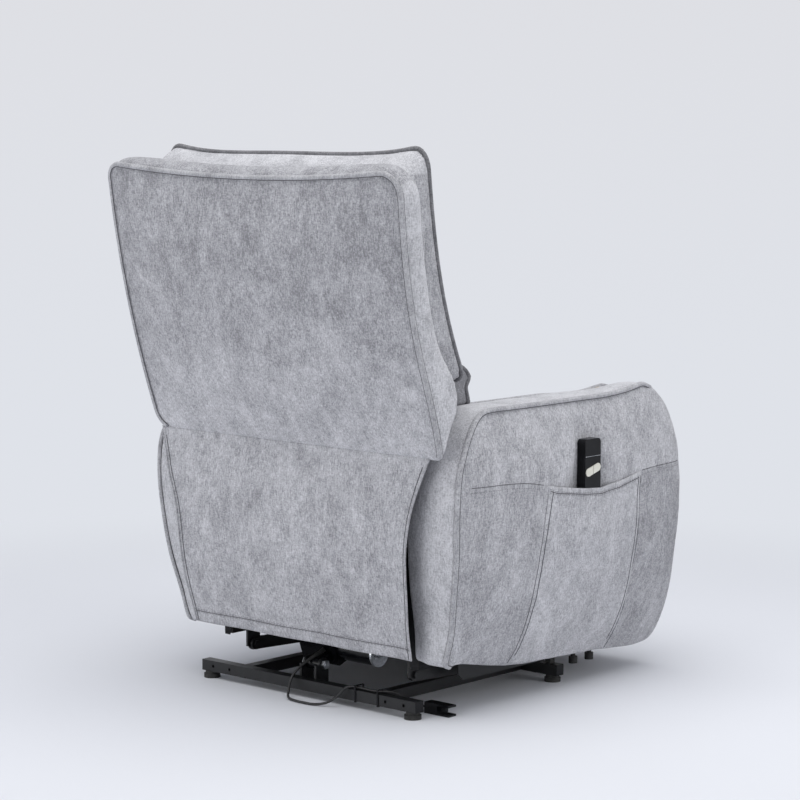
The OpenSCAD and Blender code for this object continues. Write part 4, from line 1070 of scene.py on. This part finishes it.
# painted light on the pillow's top, painted shade on its sides below the top
headPaintedLight = 0.05 + 0.35 * smooth(headZ, 1000, 1030)
setNapAndShade(headPillow, np.where((np.abs(headX) > 325) & (headZ < 1030), -0.22, headPaintedLight))
rides(headPillow, "back", ["head_pillow"])
rides(tube("pillow_piping", pillowEdge, pillow["piping"], pipingCloth, closed=True), "back")

# small of the back
lumbar = {"low": 469.8, "high": 664, "narrow": 250, "wide": 300, "crown": 26,
          "levels": (470, 560, 596, 624, 642, 664), "front": (130, 138, 143, 151, 140, 155),
          "widens": (580, 591), "rear": (248.6, 42, 470, 168), "rearTop": 190, "rearTopZ": (618, 641),
          "fill": (6.0, 3.0, 8.0), "piping": 4.2}


def lumbarPlace(u, w, y):
    z = lumbar["low"] + (lumbar["high"] - lumbar["low"]) * (w + 1) / 2
    half = lumbar["narrow"] + (lumbar["wide"] - lumbar["narrow"]) * smooth(z, *lumbar["widens"])
    return np.stack([u * half, y(z), z], -1)


def lumbarFront(u, w):
    def y(z):
        return np.interp(z, lumbar["levels"], lumbar["front"]) - lumbar["crown"] * crown(u, w)
    return lumbarPlace(u, w, y)


def lumbarRear(u, w):
    def y(z):
        foot, swell, low, reach = lumbar["rear"]
        lower = foot + swell * np.clip((z - low) / reach, 0, 1) ** 1.3
        return lower + (lumbar["rearTop"] - lower) * smooth(z, *lumbar["rearTopZ"])
    return lumbarPlace(u, w, y)


lumbarLoop = panelLoop(600, 194, 16, 20, 260)
lumbarPad, lumbarEdge = makePad("lumbar_pad", lumbarLoop, lumbarFront, lumbarRear, 3, 14, lumbar["fill"])
# painted shade: the lumbar pad darker, most of all on its sides
setNapAndShade(lumbarPad, np.where(np.abs(coordinates(lumbarPad)[:, 0]) > 284, -1.0, -0.2))
rides(lumbarPad, "back", ["lumbar_cushion"])
rides(tube("lumbar_piping", lumbarEdge, lumbar["piping"], pipingCloth, closed=True), "back")
print("pillow and lumbar made")

# seat cushion
seat = {"half": 257, "front": -438, "rear": 150, "low": 303.9, "top": 445.8, "crown": 18, "noseDrop": 16,
        "fill": (7.0, 3.0, 14.0), "box": ((-262.4, -450, 303.7), (262.4, 160, 480)), "piping": 3.6}


def seatPlace(u, w, z):
    v = (w + 1) / 2
    return np.stack([u * seat["half"], seat["front"] + (seat["rear"] - seat["front"]) * v, z], -1)


def seatTop(u, w):
    drop = seat["noseDrop"] * (1 - (w + 1) / 2) ** 6
    return seatPlace(u, w, seat["top"] + seat["crown"] * crown(u, w) - drop)


def seatLow(u, w):
    return seatPlace(u, w, np.full(u.shape, seat["low"]))


seatLoop = panelLoop(2 * seat["half"], seat["rear"] - seat["front"], 22, 26, 260)
seatCushion, seatEdge = makePad("seat_cushion_cover", seatLoop, seatTop, seatLow, 4, 18,
                                seat["fill"], seat["box"])
setNapAndShade(seatCushion, 0.05)
rides(seatCushion, "chair", ["seat_cushion"])
rides(tube("seat_piping", seatEdge, seat["piping"], pipingCloth, closed=True), "chair")

# footrest pad
footPad = {"half": 257, "low": 83, "top": 293.8, "rear": -400.4, "thick": 34, "crown": 10,
           "fill": (6.0, 3.0, 8.0), "box": ((-262, -456, 79), (262, -400.4, 298)), "piping": 3.4}


def footPlace(u, w, y):
    z = (footPad["low"] + footPad["top"]) / 2 + (footPad["top"] - footPad["low"]) / 2 * w
    return np.stack([u * footPad["half"], y, z], -1)


def footFront(u, w):
    return footPlace(u, w, footPad["rear"] - footPad["thick"] - footPad["crown"] * crown(u, w))


def footRear(u, w):
    return footPlace(u, w, np.full(u.shape, footPad["rear"]))


footLoop = panelLoop(2 * footPad["half"], 211, 18, 18, 220)
footCover, footEdge = makePad("footrest_pad_cover", footLoop, footFront, footRear, 3, 8,
                              footPad["fill"], footPad["box"])
setNapAndShade(footCover, 0.0)
rides(footCover, "footrest", ["footrest_pad"])
rides(tube("footrest_piping", footEdge, footPad["piping"], pipingCloth, closed=True), "footrest")
print("seat and footrest made")

# cloth that hangs behind the seat
drape = {"hem": (292, 117), "bulge": (346, 330), "top": (313.5, 510), "hemHalf": 289, "topHalf": 356,
         "swell": 9.5, "fuller": 9, "thick": 1.6, "folds": (2.2, 1.6), "edgeFold": 3.0, "hemRoll": 2.0}


# u from side to side, v from the hem to the top
def drapePoint(u, v):
    hemAt, bulgeAt, topAt = (np.array(drape[k], float) for k in ("hem", "bulge", "top"))
    p = alongCurve(hemAt, bulgeAt, topAt, v[..., None])
    hemFold, midFold = drape["folds"]
    fold = hemFold * np.sin(np.radians(540 * u)) * (1 - v) + midFold * np.sin(7.3 * u + 3.1 * v) * (1 - v) * v
    turned = smooth(np.abs(u), 0.965, 1) * smooth(v, 0.02, 0.2) * (1 - smooth(v, 0.7, 0.9))
    half = drape["hemHalf"] + (drape["topHalf"] - drape["hemHalf"]) * v ** 2.2
    half = half + drape["swell"] * np.exp(-((v - 0.28) / 0.22) ** 2)
    half = half + drape["fuller"] * smooth(u, 0.5, 1) * smooth(v, 0.55, 0.82)
    return np.stack([u * half, p[..., 0] + fold + drape["edgeFold"] * turned, p[..., 1]], -1)


def makeDrape(name, spec):
    u, v = np.meshgrid(np.linspace(-1, 1, 121), np.linspace(0, 1, 81))
    middle = drapePoint(u, v)
    normal = unit(np.cross(np.gradient(middle, axis=1), np.gradient(middle, axis=0))) * spec["thick"] / 2
    points = np.vstack([(middle + normal).reshape(-1, 3), (middle - normal).reshape(-1, 3)])
    cells = np.cross(middle[1:, 1:] - middle[:-1, :-1], middle[1:, :-1] - middle[:-1, 1:])
    area = float(np.linalg.norm(cells, axis=-1).sum() / 2)
    parts = [meshObject(name + "_face", points, sheetFaces(*u.shape), chenille)]
    rise = np.linspace(0.004, 0.95, 140)
    for k in (-1, 1):
        edge = drapePoint(np.full(140, k * 0.998), rise) + (0, 0.8, 0)
        fold = drapePoint(np.full(140, k * 0.976), rise) + (0, 1.2, 0)
        parts.append(tube(name + "_edge", edge, spec["hemRoll"], weltCloth, sides=8))
        # a thin dark line of painted shade just inside each rolled edge
        parts.append(tube(name + "_fold_shade", fold, 0.8, seamShade, sides=6))
    return joined(name, parts), area / 1e6, lengthOf(middle[:, u.shape[1] // 2]) / 1000


drapeCloth, drapeArea, drapeLength = makeDrape("rear_cloth", drape)
setNapAndShade(drapeCloth, 0.0)
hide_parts("rear_drape")
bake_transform(drapeCloth)
drapeTree = surfaceOf(drapeCloth)


# a line across the drape at one height
def onDrape(v, lift):
    across = np.linspace(-0.985, 0.985, 160)
    return onSurface(drapeTree, drapePoint(across, np.full(160, v)) + (0, 4, 0), lift)


seamLine("rear_cloth_seam", [onDrape(0.052, 0.1)], "chair", 0.7)
stitches("rear_cloth_stitches", [onDrape(v, 0.3) for v in (0.047, 0.059)], "chair", 8, 5)
print("drape made", round(drapeArea, 4), round(drapeLength, 3))

# black cloth over the rear of the seat box, turned round its corners
boxCloth = {"half": 262.7, "rear": 243.4, "return": 150, "low": 86.5, "raised": 134, "high": 306,
            "thick": 0.4}


def makeBoxCloth(name, spec):
    half, rear = spec["half"], spec["rear"]
    corner = [(-half, rear - k) for k in (spec["return"], 100, 60, 30, 10, 4)]
    corner += [(-half + 1.2, rear - 0.8), (-half + 4, rear)]
    flat = [(x, rear) for x in (-246, -240, -232, *np.linspace(-210, 210, 15), 232, 240, 246)]
    line = np.array(corner + flat + [(-x, y) for x, y in corner[::-1]], float)
    tangent = np.gradient(line, axis=0)
    normal = unit(np.stack([-tangent[:, 1], tangent[:, 0]], 1))
    foot = spec["raised"] + (spec["low"] - spec["raised"]) * smooth(np.abs(line[:, 0]), 232, 246)
    levels = [foot + (spec["high"] - foot) * k for k in np.linspace(0, 1, 21)]
    layers = (line, line + normal * spec["thick"])
    points = np.vstack([np.c_[layer, z] for layer in layers for z in levels])
    made = meshObject(name, points, sheetFaces(len(levels), len(line)), dustCloth)
    return made, lengthOf(line) / 1000, (spec["high"] - spec["low"]) / 1000


boxSheet, boxLength, boxHeight = makeBoxCloth("seat_box_cloth", boxCloth)
rides(boxSheet, "chair")
print("seat box cloth made")

# parting line across the face of the handset, drawn as a thin light metal line: a painted highlight
parting = {"x": -416.05, "y": (-70, -116), "z": 478, "radius": 0.45}
partingLine = [(parting["x"], y, parting["z"]) for y in np.linspace(*parting["y"], 12)]
handsetSeamHighlight = tube("handset_seam_highlight", partingLine, parting["radius"], bySlot["zinc_steel"], sides=6)
rides(handsetSeamHighlight, "handset")


# floor, backdrop and lights, in metres
stage = {"floor": (0.735, 0.75, 0.795), "low": (0.738, 0.762, 0.815), "high": (0.732, 0.74, 0.778),
         "near": 1.0, "far": 2.2, "front": -6, "flat": 3.2, "bend": 2.2, "top": 7, "half": 9, "tint": 1.6}
lamps = {
    "top_lamp": {"place": (-0.4, 0.4, 3.6), "aim": (0, 0, 0.3), "size": (4.0, 4.0), "power": 112},
    "side_lamp": {"place": (-4.0, -1.2, 1.3), "aim": (0, 0, 0.4), "size": (2.6, 1.8), "power": 40},
    "back_lamp": {"place": (0.6, 4.4, 0.8), "aim": (0, 0, 0.3), "size": (2.8, 1.2), "power": 34},
    "low_lamp": {"place": (1.5, 2.5, 0.35), "aim": (-0.1, 0.3, 0.2), "size": (1.6, 0.5), "power": 7},
}
sky = {"colour": (0.95, 0.965, 1.0), "strength": 0.45}


def makeStage(spec):
    flat, bend = spec["flat"], spec["bend"]
    profile = [(spec["front"], 0), (flat, 0)]
    for a in np.linspace(0, 90, 13)[1:]:
        profile.append((flat + bend * math.sin(math.radians(a)), bend - bend * math.cos(math.radians(a))))
    profile.append((flat + bend, spec["top"]))
    away = (Vector(camera["aim"]) - Vector(camera["place"])).xy.normalized()
    side = Vector((away.y, -away.x))
    points, faces = [], []
    for k, (d, z) in enumerate(profile):
        for s in (-spec["half"], spec["half"]):
            p = away * d + side * s
            points.append((p.x * 1000, p.y * 1000, z * 1000))
        if k:
            faces.append((2 * k - 2, 2 * k - 1, 2 * k + 1, 2 * k))
    s = Shader("studio_floor", Roughness=0.8, Specular_IOR_Level=0.12)
    s.principled.inputs["Base Color"].default_value = (*spec["floor"], 1)
    split = s.node("ShaderNodeSeparateXYZ", {0: s.coords.outputs["Object"]}).outputs
    flatPlace = s.node("ShaderNodeCombineXYZ", {0: split[0], 1: split[1], 2: 0.0}).outputs[0]
    gone = s.node("ShaderNodeVectorMath", {0: flatPlace}, operation="LENGTH").outputs["Value"]
    reach = {0: gone, 1: spec["near"], 2: spec["far"]}
    fade = s.node("ShaderNodeMapRange", reach, interpolation_type="SMOOTHSTEP").outputs[0]
    ray = s.node("ShaderNodeLightPath").outputs
    mirrored = s.math("MAXIMUM", ray["Is Glossy Ray"], ray["Is Transmission Ray"])
    seen = s.math("MULTIPLY", fade, s.math("MAXIMUM", ray["Is Camera Ray"], mirrored))
    tint = s.ramp(s.span(split[2], 0.0, spec["tint"]), [(0.0, spec["low"]), (1.0, spec["high"])])
    glow = s.node("ShaderNodeEmission", {"Color": tint, "Strength": 1.0}).outputs[0]
    blend = s.node("ShaderNodeMixShader", {0: seen, 1: s.principled.outputs[0], 2: glow}).outputs[0]
    behind = s.node("ShaderNodeNewGeometry").outputs["Backfacing"]
    clear = s.node("ShaderNodeBsdfTransparent").outputs[0]
    oneSided = s.node("ShaderNodeMixShader", {0: behind, 1: blend, 2: clear}).outputs[0]
    s.link(oneSided, s.tree.nodes["Material Output"].inputs[0])
    made = meshObject("studio_floor", points, faces, s.material, outward=False)
    if any(poly.normal.z < -0.1 for poly in made.data.polygons):
        made.data.flip_normals()
    made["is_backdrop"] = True


makeStage(stage)
for name, lamp in lamps.items():
    lampData = bpy.data.lights.new(name, "AREA")
    lampData.shape = "RECTANGLE"
    lampData.size, lampData.size_y = lamp["size"]
    lampData.energy = lamp["power"]
    aimed(name, lampData, lamp["place"], lamp["aim"])
world = bpy.data.worlds.new("studio")
scene.world = world
world.use_nodes = True
soft = world.node_tree.nodes["Background"]
soft.inputs["Color"].default_value = (*sky["colour"], 1)
soft.inputs["Strength"].default_value = sky["strength"]
seen = addNode(world.node_tree, "ShaderNodeBackground", {"Color": (*stage["high"], 1)}).outputs[0]
ray = addNode(world.node_tree, "ShaderNodeLightPath").outputs["Is Camera Ray"]
mix = addNode(world.node_tree, "ShaderNodeMixShader", {0: ray, 1: soft.outputs[0], 2: seen}).outputs[0]
world.node_tree.links.new(mix, world.node_tree.nodes["World Output"].inputs[0])
scene.view_settings.view_transform = "Standard"

low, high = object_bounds()
{"cad": [list(map(float, c)) for c in cadBox], "scene": [list(map(float, c)) for c in (low, high)]}
print("cad box", [round(c * 1000, 1) for c in (*cadBox[0], *cadBox[1])])
print("scene box", [round(c * 1000, 1) for c in (*low, *high)])
